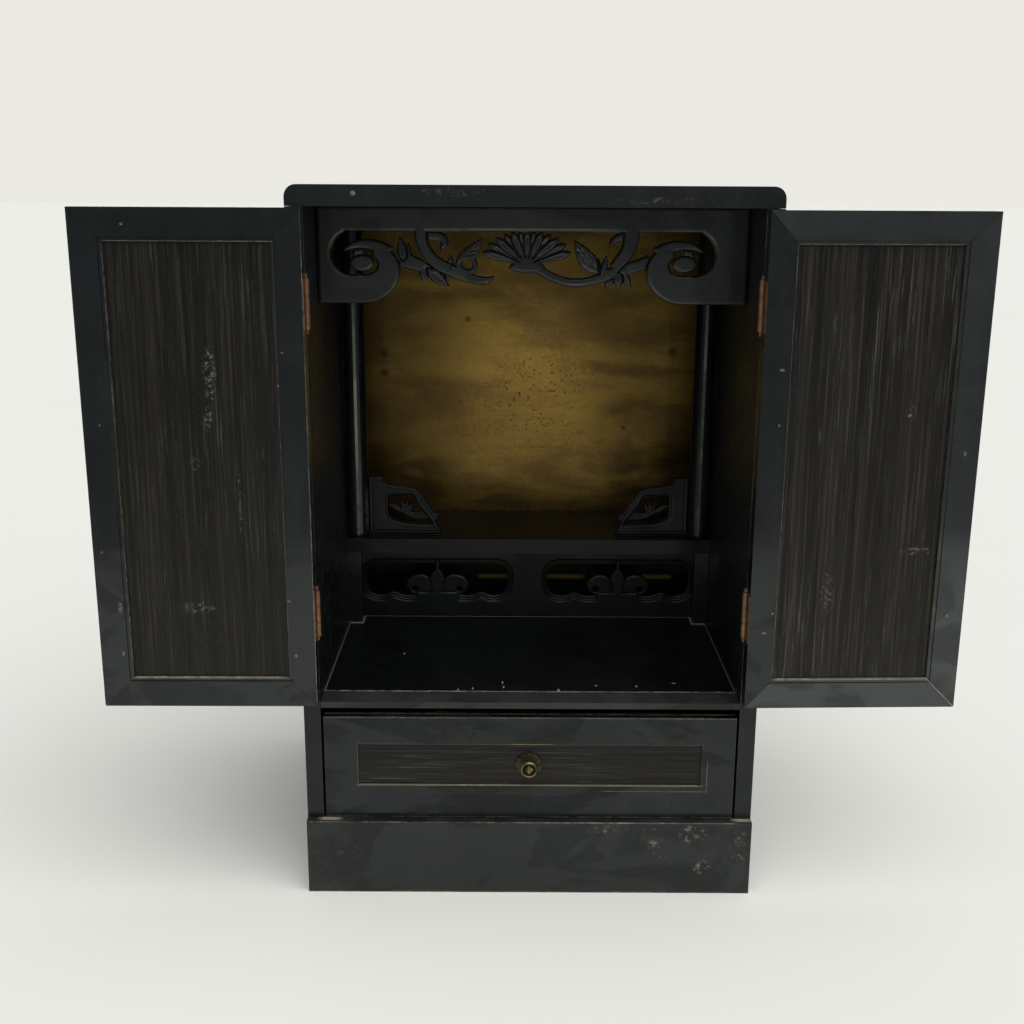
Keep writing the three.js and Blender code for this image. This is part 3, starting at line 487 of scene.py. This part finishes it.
def nearest(points, edges):
    """How far each point is from the nearest of the segments."""
    best = np.full(len(points), 1e9)
    for x0, z0, x1, z1 in edges:
        dx, dz = x1 - x0, z1 - z0
        px, pz = points[:, 0] - x0, points[:, 1] - z0
        share = np.clip((px * dx + pz * dz) / max(dx * dx + dz * dz, 1e-18), 0, 1)
        best = np.minimum(best, np.hypot(px - share * dx, pz - share * dz))
    return best


def within(points, edges):
    """Which points lie inside the closed outlines that the segments make."""
    crossed = np.zeros(len(points), dtype=int)
    for x0, z0, x1, z1 in edges:
        if z0 == z1:
            continue
        spans = (points[:, 1] >= min(z0, z1)) & (points[:, 1] < max(z0, z1))
        at = x0 + (points[:, 1] - z0) / (z1 - z0) * (x1 - x0)
        crossed += spans & (at > points[:, 0])
    return crossed % 2 == 1


def front_regions(mesh):
    """The flat front faces of a mesh, gathered into connected regions."""
    left = dict.fromkeys(face for face in mesh.faces if face.normal.y < -0.999)
    while left:
        first = next(iter(left))
        del left[first]
        region, queue = {first: None}, [first]
        while queue:
            for edge in queue.pop().edges:
                for other in edge.link_faces:
                    if other in left:
                        del left[other]
                        region[other] = None
                        queue.append(other)
        yield region


def grid_within(outline, grid):
    """The points of a triangular grid inside an outline, and how far each of them is from it."""
    ends = outline.reshape(-1, 2)
    low, high = ends.min(axis=0), ends.max(axis=0)
    xs, zs = np.meshgrid(np.arange(low[0], high[0], grid), np.arange(low[1], high[1], grid * 0.866))
    xs = xs + (np.arange(xs.shape[0]) % 2)[:, None] * grid / 2
    points = np.column_stack((xs.ravel(), zs.ravel()))
    points = points[within(points, outline)]
    far = nearest(points, outline)
    keep = far > grid * 0.45
    return points[keep], far[keep]


def visible(mesh, name):
    """A new object made from the mesh."""
    data = bpy.data.meshes.new(name)
    mesh.to_mesh(data)
    mesh.free()
    made = bpy.data.objects.new(name, data)
    bpy.context.scene.collection.objects.link(made)
    return made


def carve(name, sink, reach, grid, grooves=(), groove=(0.6, 0.8), rim=None):
    """The node's own form, its carved front faces rounded down to their edges and cut with fine grooves.

    Lengths are in millimetres. A groove is a depth and a width, and rim is how far inside the edge one runs.
    """
    sink, reach, grid = sink * MM, reach * MM, grid * MM
    depth, width = groove[0] * MM, groove[1] * MM
    cuts = segments(grooves)
    mesh = bmesh.new()
    mesh.from_mesh(nodes[name].data)
    bmesh.ops.remove_doubles(mesh, verts=mesh.verts, dist=1e-6)
    for region in list(front_regions(mesh)):
        border = [e for f in region for e in f.edges if sum(g in region for g in e.link_faces) == 1]
        corners = list(dict.fromkeys(v for e in border for v in e.verts))
        number = {v: i for i, v in enumerate(corners)}
        level = corners[0].co.y
        outline = np.array([(v.co.x, v.co.z, w.co.x, w.co.z) for v, w in (e.verts for e in border)])
        points, far = grid_within(outline, grid)
        share = np.clip(far / reach, 0, 1)
        height = level + sink * (1 - np.sqrt(1 - (1 - share) ** 2))
        if rim:
            height += depth * np.exp(-(((far - rim * MM) / (width * 0.7)) ** 2))
        if len(cuts):
            height += depth * np.exp(-((nearest(points, cuts) / width) ** 2))
        flat = [Vector((v.co.x, v.co.z)) for v in corners] + [Vector(p) for p in points]
        links = [(number[e.verts[0]], number[e.verts[1]]) for e in border]
        spots, _, faces, origins = geometry.delaunay_2d_cdt(flat, links, [], 0, 1e-9)[:4]
        centres = np.array([sum((spots[i] for i in face), Vector((0, 0))) / len(face) for face in faces])
        inner = within(centres, outline)
        ready = []
        for spot, source in zip(spots, origins):
            first = source[0] if source else None
            if first is None:
                ready.append(mesh.verts.new((spot.x, level + sink, spot.y)))
            elif first < len(corners):
                ready.append(corners[first])
            else:
                ready.append(mesh.verts.new((spot.x, height[first - len(corners)], spot.y)))
        for vertex in corners:
            vertex.co.y = level + sink
        bmesh.ops.delete(mesh, geom=list(region), context="FACES_ONLY")
        for face, good in zip(faces, inner):
            if good:
                a, b, c = (spots[i] for i in face)
                turned = (b - a).cross(c - a) < 0
                order = reversed(face) if turned else face
                mesh.faces.new([ready[i] for i in order]).smooth = True
    loose = [v for v in mesh.verts if not v.link_faces]
    bmesh.ops.delete(mesh, geom=loose, context="VERTS")
    mesh.normal_update()
    for edge in mesh.edges:
        edge.smooth = len(edge.link_faces) == 2 and edge.calc_face_angle() < 0.75
    made = visible(mesh, name + "_relief")
    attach(made, "carcase")
    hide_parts(name)
    return made


# The carving's middle and foot, and its leaves' midribs from root to tip, in millimetres.
PATTERN_MIDDLE = -4.8
PATTERN_FOOT = 485.0
LEFT_RIBS = [
    ((98.5, 33), (101, 52.5)), ((96, 33), (94.5, 48)), ((82, 29), (81.5, 16.5)), ((80, 28), (62, 13.5)),
    ((73, 27), (64, 18.5)), ((58, 26.5), (35.7, 51.2)), ((61, 26), (61, 38.5)),
]
RIGHT_RIBS = [
    ((57.5, 24), (37.5, 50.5)), ((60, 21), (63.5, 38)), ((56.5, 22), (57, 37)), ((74, 26), (83.5, 13.5)),
    ((73, 25), (73, 12.5)), ((72, 26), (62.5, 12.8)),
]


def transom_grooves():
    """The midribs of the leaves and the fine lines of the flower, as polylines in the row's frame."""
    def at(u, v):
        spot = place(PATTERN_MIDDLE + u, 0, PATTERN_FOOT + v)
        return (spot.x, spot.z)

    lines = []
    for side, ribs in ((-1, LEFT_RIBS), (1, RIGHT_RIBS)):
        for root, tip in ribs:
            root, tip = Vector(root), Vector(tip)
            lines.append([at(side * p.x, p.y) for p in (root.lerp(tip, 0.15), root.lerp(tip, 0.85))])
            across = Vector((root.y - tip.y, tip.x - root.x)) * 0.1
            if (tip - root).length > 20:
                for share in (0.3, 0.45, 0.6):
                    start = root.lerp(tip, share)
                    for out in (across, -across):
                        end = root.lerp(tip, share + 0.16) + out
                        lines.append([at(side * start.x, start.y), at(side * end.x, end.y)])
    for i in range(13):
        angle = math.radians(17 + i / 12 * 146)
        length = 27.4 + 10.5 * math.cos(angle) ** 2
        ray = Vector((math.cos(angle), math.sin(angle)))
        lines.append([at(*(Vector((0, 30)) + ray * length * share)) for share in (0.3, 0.8)])
    return lines


# Depths at which dirt gathers, in millimetres behind the front edges.
POST_FRONT = 191
BRACKET_FRONT = 197
APRON_FRONT = 212


def inner_side(box, i):
    """The inner face of a left (0) or right (1) piece."""
    return box[1][0] if i == 0 else box[0][0]


def dress_plinth():
    low, high = node_box("plinth_front")
    front, top = low[1], high[2]
    lines = [
        (0, (front + 0.0055, top), 0.004, 0.9, span(-174, -158), CREAM, 0.7),
        (0, (front + 0.0055, top), 0.004, 0.9, span(170, 184), CREAM, 0.7),
        (0, (front, top), 0.0011, 0.7, span(0, 172), CREAM, 0.25),
        (0, (front, top), 0.0009, 0.5, span(-185, 0), CREAM, 0.0),
        (0, (front, 0.0), 0.0015, 0.4, span(-185, 185), CREAM, 0.0),
    ]
    stains = [
        (across(x), z * MM, wide * MM, tall * MM, strength)
        for x, z, wide, tall, strength in (
            (64, 60, 20, 6, 0.55), (102, 50, 10, 18, 0.45), (136, 54, 14, 12, 0.5), (144, 25, 9, 9, 0.8),
            (176, 42, 9, 20, 0.3), (112, 30, 8, 6, 0.5), (-150, 40, 16, 14, 0.12),
        )
    ]
    for i, name in enumerate(("plinth_front", "plinth_left", "plinth_right", "plinth_back")):
        marks = {"lines": lines, "stains": stains} if i == 0 else {}
        paint(name, lacquer(name, node_box(name), dust=0.9, wear=0.7, gloss=0.24, shift=i * 3.1, **marks))
        ease(name, 0.0009)


def dress_sides_and_top(floor_z, shelf_z):
    for i, name in enumerate(("side_left", "side_right")):
        box = node_box(name)
        front, inner = box[0][1], inner_side(box, i)
        rail_back = front + 0.02
        lines = [
            (2, (inner, front), 0.0008, 0.35, (170 * MM, 556 * MM), CREAM, 0.0),
            (1, (inner, floor_z), 0.0008, 0.55, (rail_back, deep(POST_FRONT)), CREAM, 0.8),
            (2, (inner, rail_back), 0.0008, 0.7, (floor_z, floor_z + 0.006), CREAM, 0.9),
            (1, (inner, shelf_z), 0.001, 0.5, (deep(180), deep(290)), CREAM, 0.4),
        ]
        stains = [(inner, 0.3, 0.02, 0.2, 0.06)]
        paint(name, lacquer(name, box, dust=0.4, wear=0.7, lines=lines, stains=stains, gloss=0.3, coat=0.04,
                            shine=0.34, shift=11 + i))
        ease(name, 0.0006)
    stains = [
        (across(-134), 0.5705, 0.0022, 0.0022, 1.0),
        (across(-60), 0.572, 0.03, 0.004, 0.15),
        (across(90), 0.566, 0.05, 0.003, 0.15),
    ]
    paint("top_board", lacquer("top_board", dust=0.8, gloss=0.22, up_dust=0.35, stains=stains, shift=17))
    ease("top_board", 0.0012, 3)


def dress_lower_shelf(floor_low, floor_high):
    rail_high = node_box("shelf_front_rail")[1]
    lines = [(0, (rail_high[1], rail_high[2]), 0.0013, 0.85, None, CREAM, 0.1)]
    paint("shelf_front_rail", lacquer("shelf_front_rail", dust=1.0, gloss=0.42, lines=lines, coat=0.0,
                                      tint=(0.012, 0.0135, 0.0135), shift=21))
    ease("shelf_front_rail", 0.0016, 3)
    top, front = floor_high[2], floor_low[1]
    post, apron = deep(POST_FRONT), deep(APRON_FRONT)
    lines = [
        (0, (front, top), 0.0013, 0.9, None, CREAM, 0.2),
        (0, (apron, top), 0.001, 0.65, None, CREAM, 0.85),
        (1, (floor_low[0], top), 0.0009, 0.6, (front, post), CREAM, 0.8),
        (1, (floor_high[0], top), 0.0009, 0.45, (front, post), CREAM, 0.8),
        (0, (post, top), 0.0011, 0.8, span(-172, -159), CREAM, 0.9),
        (0, (post, top), 0.0011, 0.8, span(159, 172), CREAM, 0.9),
        (1, (across(-159), top), 0.0018, 0.8, (post, apron), CREAM, 0.9),
        (1, (across(159), top), 0.0018, 0.8, (post, apron), CREAM, 0.9),
    ]
    chips = [
        (across(x), deep(y), wide * MM, long * MM, 1.0)
        for x, y, wide, long in (
            (24, 25, 1.6, 5), (-22, 33, 0.9, 3), (-23, 43, 0.9, 3), (-48, 30, 0.7, 3), (56, 37, 1.3, 1.6),
            (122, 43, 2.6, 1.6), (90, 36, 0.8, 3), (-60, 28, 0.8, 3), (-112, 110, 1.0, 2.5),
        )
    ]
    paint("lower_shelf", lacquer("lower_shelf", dust=0.2, gloss=0.3, lines=lines, stains=chips, flat=True,
                                 up_dust=0.06, coat=0.0, shine=0.25, tint=(0.0026, 0.003, 0.0032), shift=23))


def dress_upper_shelf(shelf_z):
    gold_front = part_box("gold_panel")[0].y
    bracket = deep(BRACKET_FRONT)
    lines = [
        (0, (gold_front, shelf_z), 0.0016, 0.7, None, CREAM, 0.3),
        (0, (bracket, shelf_z), 0.001, 0.5, span(-152, -82), CREAM, 0.4),
        (0, (bracket, shelf_z), 0.001, 0.5, span(82, 152), CREAM, 0.4),
    ]
    paint("upper_shelf", lacquer("upper_shelf", node_box("upper_shelf"), wear=0.5, gloss=0.12, lines=lines,
                                 up_dust=0.1, coat=0.0, shine=0.14, shift=29))
    ease("upper_shelf", 0.0008)


def dress_posts_and_pillars():
    for i, name in enumerate(("lower_post_left", "lower_post_right")):
        box = low, high = node_box(name)
        inner = inner_side(box, i)
        lines = [
            (0, (low[1], low[2]), 0.0012, 0.8, None, CREAM, 0.8),
            (1, (inner, low[2]), 0.0012, 0.8, None, CREAM, 0.8),
            (2, (inner, high[1]), 0.0008, 0.3, None, CREAM, 0.3),
        ]
        paint(name, lacquer(name, box, dust=0.5, lines=lines, shift=31 + i))
        ease(name, 0.0007)
    low, high = node_box("pillar_left")
    # A pale dust-coloured streak low on the left pillar's front: a painted highlight, with some rubbed dust.
    rub_and_highlight = (2, (high[0], low[1] + 0.006), 0.0045, 0.6, (262 * MM, 300 * MM), DUST_AND_HIGHLIGHT, 0.2)
    paint("pillar_left", lacquer("pillar_left", dust=0.5, gloss=0.2, lines=[rub_and_highlight], shine=0.45, shift=37))
    paint("pillar_right", lacquer("pillar_right", dust=0.5, gloss=0.2, coat=0.0, shine=0.25, shift=38))


def dress_back():
    paint("gold_panel", gold())
    board_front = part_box("back_board")[0].y
    # Painted light: a bright gold strip drawn along the back board behind the apron, for the lit strip seen
    # through the apron's openings.
    lit_strip = [
        (0, (board_front - 0.002, 184 * MM), 0.0042, 1.0, reach, (0.95, 0.66, 0.24), 1.0)
        for reach in (span(-50, 60), span(70, 78), span(120, 150))
    ]
    paint("back_board", lacquer("back_board", dust=0.3, gloss=0.5, lines=lit_strip, coat=0.0,
                                tint=(0.006, 0.005, 0.004), shift=47))
    wood = bare_wood("bare_wood")
    for name in ("bottom_board", "drawer_base", "drawer_left", "drawer_right", "drawer_back"):
        paint(name, wood)
        ease(name, 0.0005, 1)


def dress_carvings():
    apron = lacquer("pierced_apron", dust=0.5, gloss=0.26, up_dust=0.8, coat=0.0, shine=0.24, shift=41)
    fretwork = lacquer("fretwork_lacquer", dust=1.0, gloss=0.26, up_dust=1.0, coat=0.15,
                       tint=(0.006, 0.007, 0.0075), shift=43)
    bracket = lacquer("bracket_lacquer", dust=0.7, gloss=0.3, up_dust=0.7, coat=0.0, shine=0.2,
                      tint=(0.0034, 0.004, 0.0043), shift=45)
    paint("carved_transom", fretwork)
    relief = carve("carved_transom", 1.3, 2.6, 0.75, transom_grooves(), (0.55, 0.6))
    relief.data.materials.append(fretwork)
    for name in ("bracket_left", "bracket_right"):
        paint(name, bracket)
        relief = carve(name, 0.8, 1.8, 0.7, groove=(0.3, 0.7), rim=3.0)
        relief.data.materials.append(bracket)
    paint("pierced_apron", apron)
    relief = carve("pierced_apron", 0.5, 1.4, 0.8)
    relief.data.materials.append(apron)


def dress_carcase():
    floor_low, floor_high = node_box("lower_shelf")
    shelf_z = node_box("upper_shelf")[1][2]
    dress_plinth()
    dress_sides_and_top(floor_high[2], shelf_z)
    dress_lower_shelf(floor_low, floor_high)
    dress_upper_shelf(shelf_z)
    dress_posts_and_pillars()
    dress_back()
    dress_carvings()


# How far each door stands from square, and where its panel starts and ends from the hinge pin, in metres.
DOOR_TURNS = {"door_left": math.radians(0.4), "door_right": math.radians(1.7)}
FRAME_WIDTH = 0.024
PANEL_END = 0.146

# Pale spots on the door frames, for each door and piece: X, height, half width and half height.
# Each is drawn somewhat smaller.
SPOTS = (
    {
        "meeting_stile": [(-322, 255, 4, 9), (-322, 217, 3, 4), (-333, 300, 2, 2), (-327, 400, 2, 2)],
        "bottom_rail": [(-258, 160, 5, 7), (-230, 166, 3, 3)],
        "hinge_stile": [(-186, 455, 6, 2), (-192, 430, 3, 2), (-190, 260, 4, 2), (-186, 215, 3, 3)],
        "top_rail": [(-300, 548, 3, 2)],
    },
    {
        "hinge_stile": [(186, 444, 5, 2), (184, 236, 5, 2), (190, 252, 3, 2), (186, 402, 2, 2)],
        "bottom_rail": [(262, 160, 4, 3), (300, 155, 3, 2)],
        "meeting_stile": [(330, 380, 2, 4), (328, 250, 3, 3)],
    },
)


# Pale scuffs on the door panels, for each door: X, height, half width, half height and strength.
SCUFFS = (
    [(-243, 437, 6, 26, 0.8), (-246, 405, 4, 12, 0.6), (-262, 254, 16, 6, 0.6), (-225, 345, 2, 50, 0.25),
     (-258, 370, 6, 8, 0.3)],
    [(287, 412, 4.5, 6, 1.0), (232, 268, 6, 22, 0.3), (301, 302, 18, 4, 0.3)],
)


def door_frame_lines(part, i, box, pivot):
    """Where dirt and wear show as lines on one piece of a door's frame."""
    (left, face, foot), (right, _, top) = box
    side = -1 if i == 0 else 1
    opening = tuple(sorted((pivot[0] + side * FRAME_WIDTH, pivot[0] + side * PANEL_END)))
    lines = []
    if part.endswith("stile"):
        bead = right if (part == "hinge_stile") == (i == 1) else left
        lines.append((2, (bead, None), 0.0007, 0.4, (foot + FRAME_WIDTH, top - FRAME_WIDTH), CREAM, 0.2))
    if part == "top_rail":
        lines.append((0, (None, foot), 0.0007, 0.35, opening, CREAM, 0.2))
    if part == "hinge_stile":
        lines.append((2, (right if i == 0 else left, face), 0.0008, 0.6, None, CREAM, 0.15))
    if part == "bottom_rail":
        lines.append((0, (face, foot), 0.0007, 0.4, None, CREAM, 0.0))
        lines.append((0, (None, top), 0.0012, 0.8, opening, CREAM, 0.5))
    return lines


def dress_doors():
    for i, (door, turn) in enumerate(DOOR_TURNS.items()):
        low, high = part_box("hinge_" + door[5:] + "_lower_pin")
        pivot = ((low.x + high.x) / 2, (low.y + high.y) / 2)
        for k, part in enumerate(("hinge_stile", "meeting_stile", "bottom_rail", "top_rail")):
            name = door + "_" + part
            box = node_box(name, turn, pivot)
            stains = [
                (across(x), z * MM, 0.5 * wide * MM, 0.6 * tall * MM, 0.45)
                for x, z, wide, tall in SPOTS[i].get(part, ())
            ]
            bright = i == 1 and part != "hinge_stile"
            made = lacquer(name, box, turn, pivot, dust=0.8, wear=0.9, stains=stains,
                           lines=door_frame_lines(part, i, box, pivot), shine=0.8 if bright else 0.42,
                           tint=(0.008, 0.0092, 0.0092) if bright else LACQUER_BLACK,
                           shift=43 + 5 * i + k)
            paint(name, made)
            ease(name, 0.0007)
        scuffs = [
            (across(x), z * MM, wide * MM, tall * MM, strength)
            for x, z, wide, tall, strength in SCUFFS[i]
        ]
        # The left door's veneer is painted darker than the right's: painted shade, as the right door is lit
        # more.
        tone = 0.6 + 0.4 * i
        paint(door + "_panel", veneer(door + "_veneer", turn, pivot, 2, scuffs, tone, shift=3 + i * 7))
    copper = metal("copper", (0.3, 0.15, 0.085), (0.13, 0.085, 0.05), 0.34)
    for name in nodes:
        if name.startswith("hinge_"):
            paint(name, copper)


# The knob's outline, from the middle of its face round to its back: share of the radius and of the depth.
KNOB_PROFILE = (
    (0.0, 0.1), (0.6, 0.12), (0.72, 0.09), (0.78, 0.02), (0.84, 0.0), (0.91, 0.015), (0.97, 0.06),
    (1.0, 0.13), (0.98, 0.24), (0.88, 0.38), (0.7, 0.47), (0.5, 0.54), (0.5, 1.0), (0.0, 1.0),
)
KNOB_SIDES = 48
KNOB_FACE_RINGS = 3
DIAMOND = 0.69


def knob_relief(material, recess):
    """The knob with its raised rim and the small diamond in its face, inside the solid knob's own size."""
    low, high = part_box("drawer_knob")
    middle = Vector(((low.x + high.x) / 2, 0, (low.z + high.z) / 2))
    radius, length = (high.x - low.x) / 2, high.y - low.y
    mesh = bmesh.new()

    def corner(share, back, turn):
        out = Vector((math.cos(turn), 0, math.sin(turn))) * radius * share
        return mesh.verts.new(middle + out + Vector((0, low.y + back * length, 0)))

    rings = []
    for share, back in KNOB_PROFILE:
        count = KNOB_SIDES if share else 1
        rings.append([corner(share, back, 2 * math.pi * i / KNOB_SIDES) for i in range(count)])
    for k, (first, second) in enumerate(zip(rings, rings[1:])):
        for i in range(KNOB_SIDES):
            j = (i + 1) % KNOB_SIDES
            around = [first[i % len(first)], first[j % len(first)]]
            around += [second[j % len(second)], second[i % len(second)]]
            face = mesh.faces.new(list(dict.fromkeys(around)))
            face.smooth = True
            face.material_index = 1 if k < KNOB_FACE_RINGS else 0
    foot = [corner(DIAMOND, 0.14, i * math.pi / 2) for i in range(4)]
    tip = corner(0, 0.03, 0)
    for i in range(4):
        mesh.faces.new((foot[i], foot[(i + 1) % 4], tip))
    mesh.faces.new(foot)
    bmesh.ops.recalc_face_normals(mesh, faces=mesh.faces)
    made = visible(mesh, "knob_relief")
    made.data.materials.append(material)
    made.data.materials.append(recess)
    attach(made, "drawer")
    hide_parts("drawer_knob")


def dress_drawer():
    low, high = node_box("drawer_front")
    (left, _, foot), (right, _, top) = node_box("drawer_panel")
    off = 0.0052
    lines = [
        (0, (low[1], high[2]), 0.0009, 0.45, None, CREAM, 0.3),
        (0, (low[1] + 0.008, high[2]), 0.0022, 0.75, None, CREAM, 0.25),
        (0, (high[1], high[2]), 0.0025, 1.0, span(-76, -69), (0.5, 0.3, 0.14), 1.0),
        (0, (low[1], low[2]), 0.0011, 0.3, None, CREAM, 0.0),
        (0, (None, foot), 0.001, 0.7, (left, right), CREAM, 0.6),
        (0, (None, top), 0.0008, 0.5, (left, right), CREAM, 0.35),
        (2, (left, None), 0.0008, 0.6, (foot, top), CREAM, 0.6),
        (2, (right, None), 0.0008, 0.3, (foot, top), CREAM, 0.4),
        (0, (None, foot - off), 0.0006, 0.35, span(60, right / MM + 5), CREAM, 0.3),
        (2, (right + off, None), 0.0006, 0.35, (foot - off, foot + 0.022), CREAM, 0.3),
        (0, (None, top), 0.0011, 0.9, span(-14, 18), (0.42, 0.27, 0.12), 0.5),
    ]
    paint("drawer_front", lacquer("drawer_front", (low, high), dust=1.0, lines=lines, gloss=0.2, coat=0.1,
                                  shine=0.36, shift=61))
    ease("drawer_front", 0.0008)
    paint("drawer_panel", veneer("drawer_veneer", along=0, tone=0.6, shift=9))
    brass = metal("brass", (0.26, 0.21, 0.09), (0.03, 0.027, 0.015), 0.34)
    grimy = metal("grimy_brass", (0.012, 0.011, 0.007), (0.006, 0.006, 0.005), 0.5)
    paint("drawer_knob", brass)
    paint("knob_rosette", metal("dull_brass", (0.06, 0.054, 0.036), (0.012, 0.012, 0.01), 0.42))
    knob_relief(brass, grimy)


def surroundings():
    """A plain pale backdrop for the camera, and a dimmer studio with a bright ceiling for the rest."""
    world = bpy.data.worlds.new("studio")
    bpy.context.scene.world = world
    world.use_nodes = True
    parts, links = world.node_tree.nodes, world.node_tree.links
    seen = parts["Background"]
    seen.inputs["Color"].default_value = (0.83, 0.82, 0.765, 1)
    room = parts.new("ShaderNodeBackground")
    room.inputs["Color"].default_value = (0.95, 0.985, 1.0, 1)
    split = parts.new("ShaderNodeSeparateXYZ")
    links.new(parts.new("ShaderNodeTexCoord").outputs["Generated"], split.inputs[0])

    def ramp(value, low, high, to_low, to_high):
        made = parts.new("ShaderNodeMapRange")
        made.interpolation_type = "SMOOTHSTEP"
        links.new(value, made.inputs["Value"])
        for key, number in (("From Min", low), ("From Max", high), ("To Min", to_low), ("To Max", to_high)):
            made.inputs[key].default_value = number
        return made.outputs["Result"]

    both = parts.new("ShaderNodeMath")
    links.new(ramp(split.outputs["Z"], 0.25, 0.95, ROOM_LOW, ROOM_CEILING), both.inputs[0])
    links.new(ramp(split.outputs["Y"], -0.3, -0.9, 0.0, ROOM_FRONT), both.inputs[1])
    links.new(both.outputs[0], room.inputs["Strength"])
    mixed = parts.new("ShaderNodeMixShader")
    links.new(parts.new("ShaderNodeLightPath").outputs["Is Camera Ray"], mixed.inputs["Fac"])
    links.new(room.outputs[0], mixed.inputs[1])
    links.new(seen.outputs[0], mixed.inputs[2])
    links.new(mixed.outputs[0], parts["World Output"].inputs["Surface"])
    bpy.context.scene.view_settings.view_transform = "Standard"


def floor_and_light():
    bpy.ops.mesh.primitive_plane_add(size=FLOOR_SIZE, location=(0, FLOOR_SIZE / 2 + FLOOR_FRONT, 0))
    floor = bpy.context.object
    floor.name = "floor"
    s = Shader("floor")
    s.set("Base Color", s.mix(s.noise(1.5, 3, 0.5), (0.76, 0.75, 0.705), (0.79, 0.78, 0.735)))
    s.set("Roughness", 0.9)
    s.set("Specular IOR Level", 0.0)
    floor.data.materials.append(s.material)
    floor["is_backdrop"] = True

    def lamp(name, kind, where, aim, power, **settings):
        data = bpy.data.lights.new(name, kind)
        data.energy = power
        for key, value in settings.items():
            setattr(data, key, value)
        made = bpy.data.objects.new(name, data)
        made.location = where
        made.rotation_euler = (Vector(aim) - Vector(where)).to_track_quat("-Z", "Y").to_euler()
        bpy.context.scene.collection.objects.link(made)

    lamp("ceiling", "SUN", (0.5, -0.8, 2.0), (0, 0, 0), SUN_POWER, angle=math.radians(75))
    lamp("front_card", "AREA", (0.012, -1.35, 0.16), (0.012, 0, 0.16), CARD_POWER, shape="RECTANGLE",
         size=0.26, size_y=0.3, color=(1.0, 0.96, 0.72))


surroundings()
make_camera()
dress_carcase()
dress_doors()
dress_drawer()
floor_and_light()

boxes = {"cad": cad_box, "visual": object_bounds()}
{key: [list(corner) for corner in box] for key, box in boxes.items()}
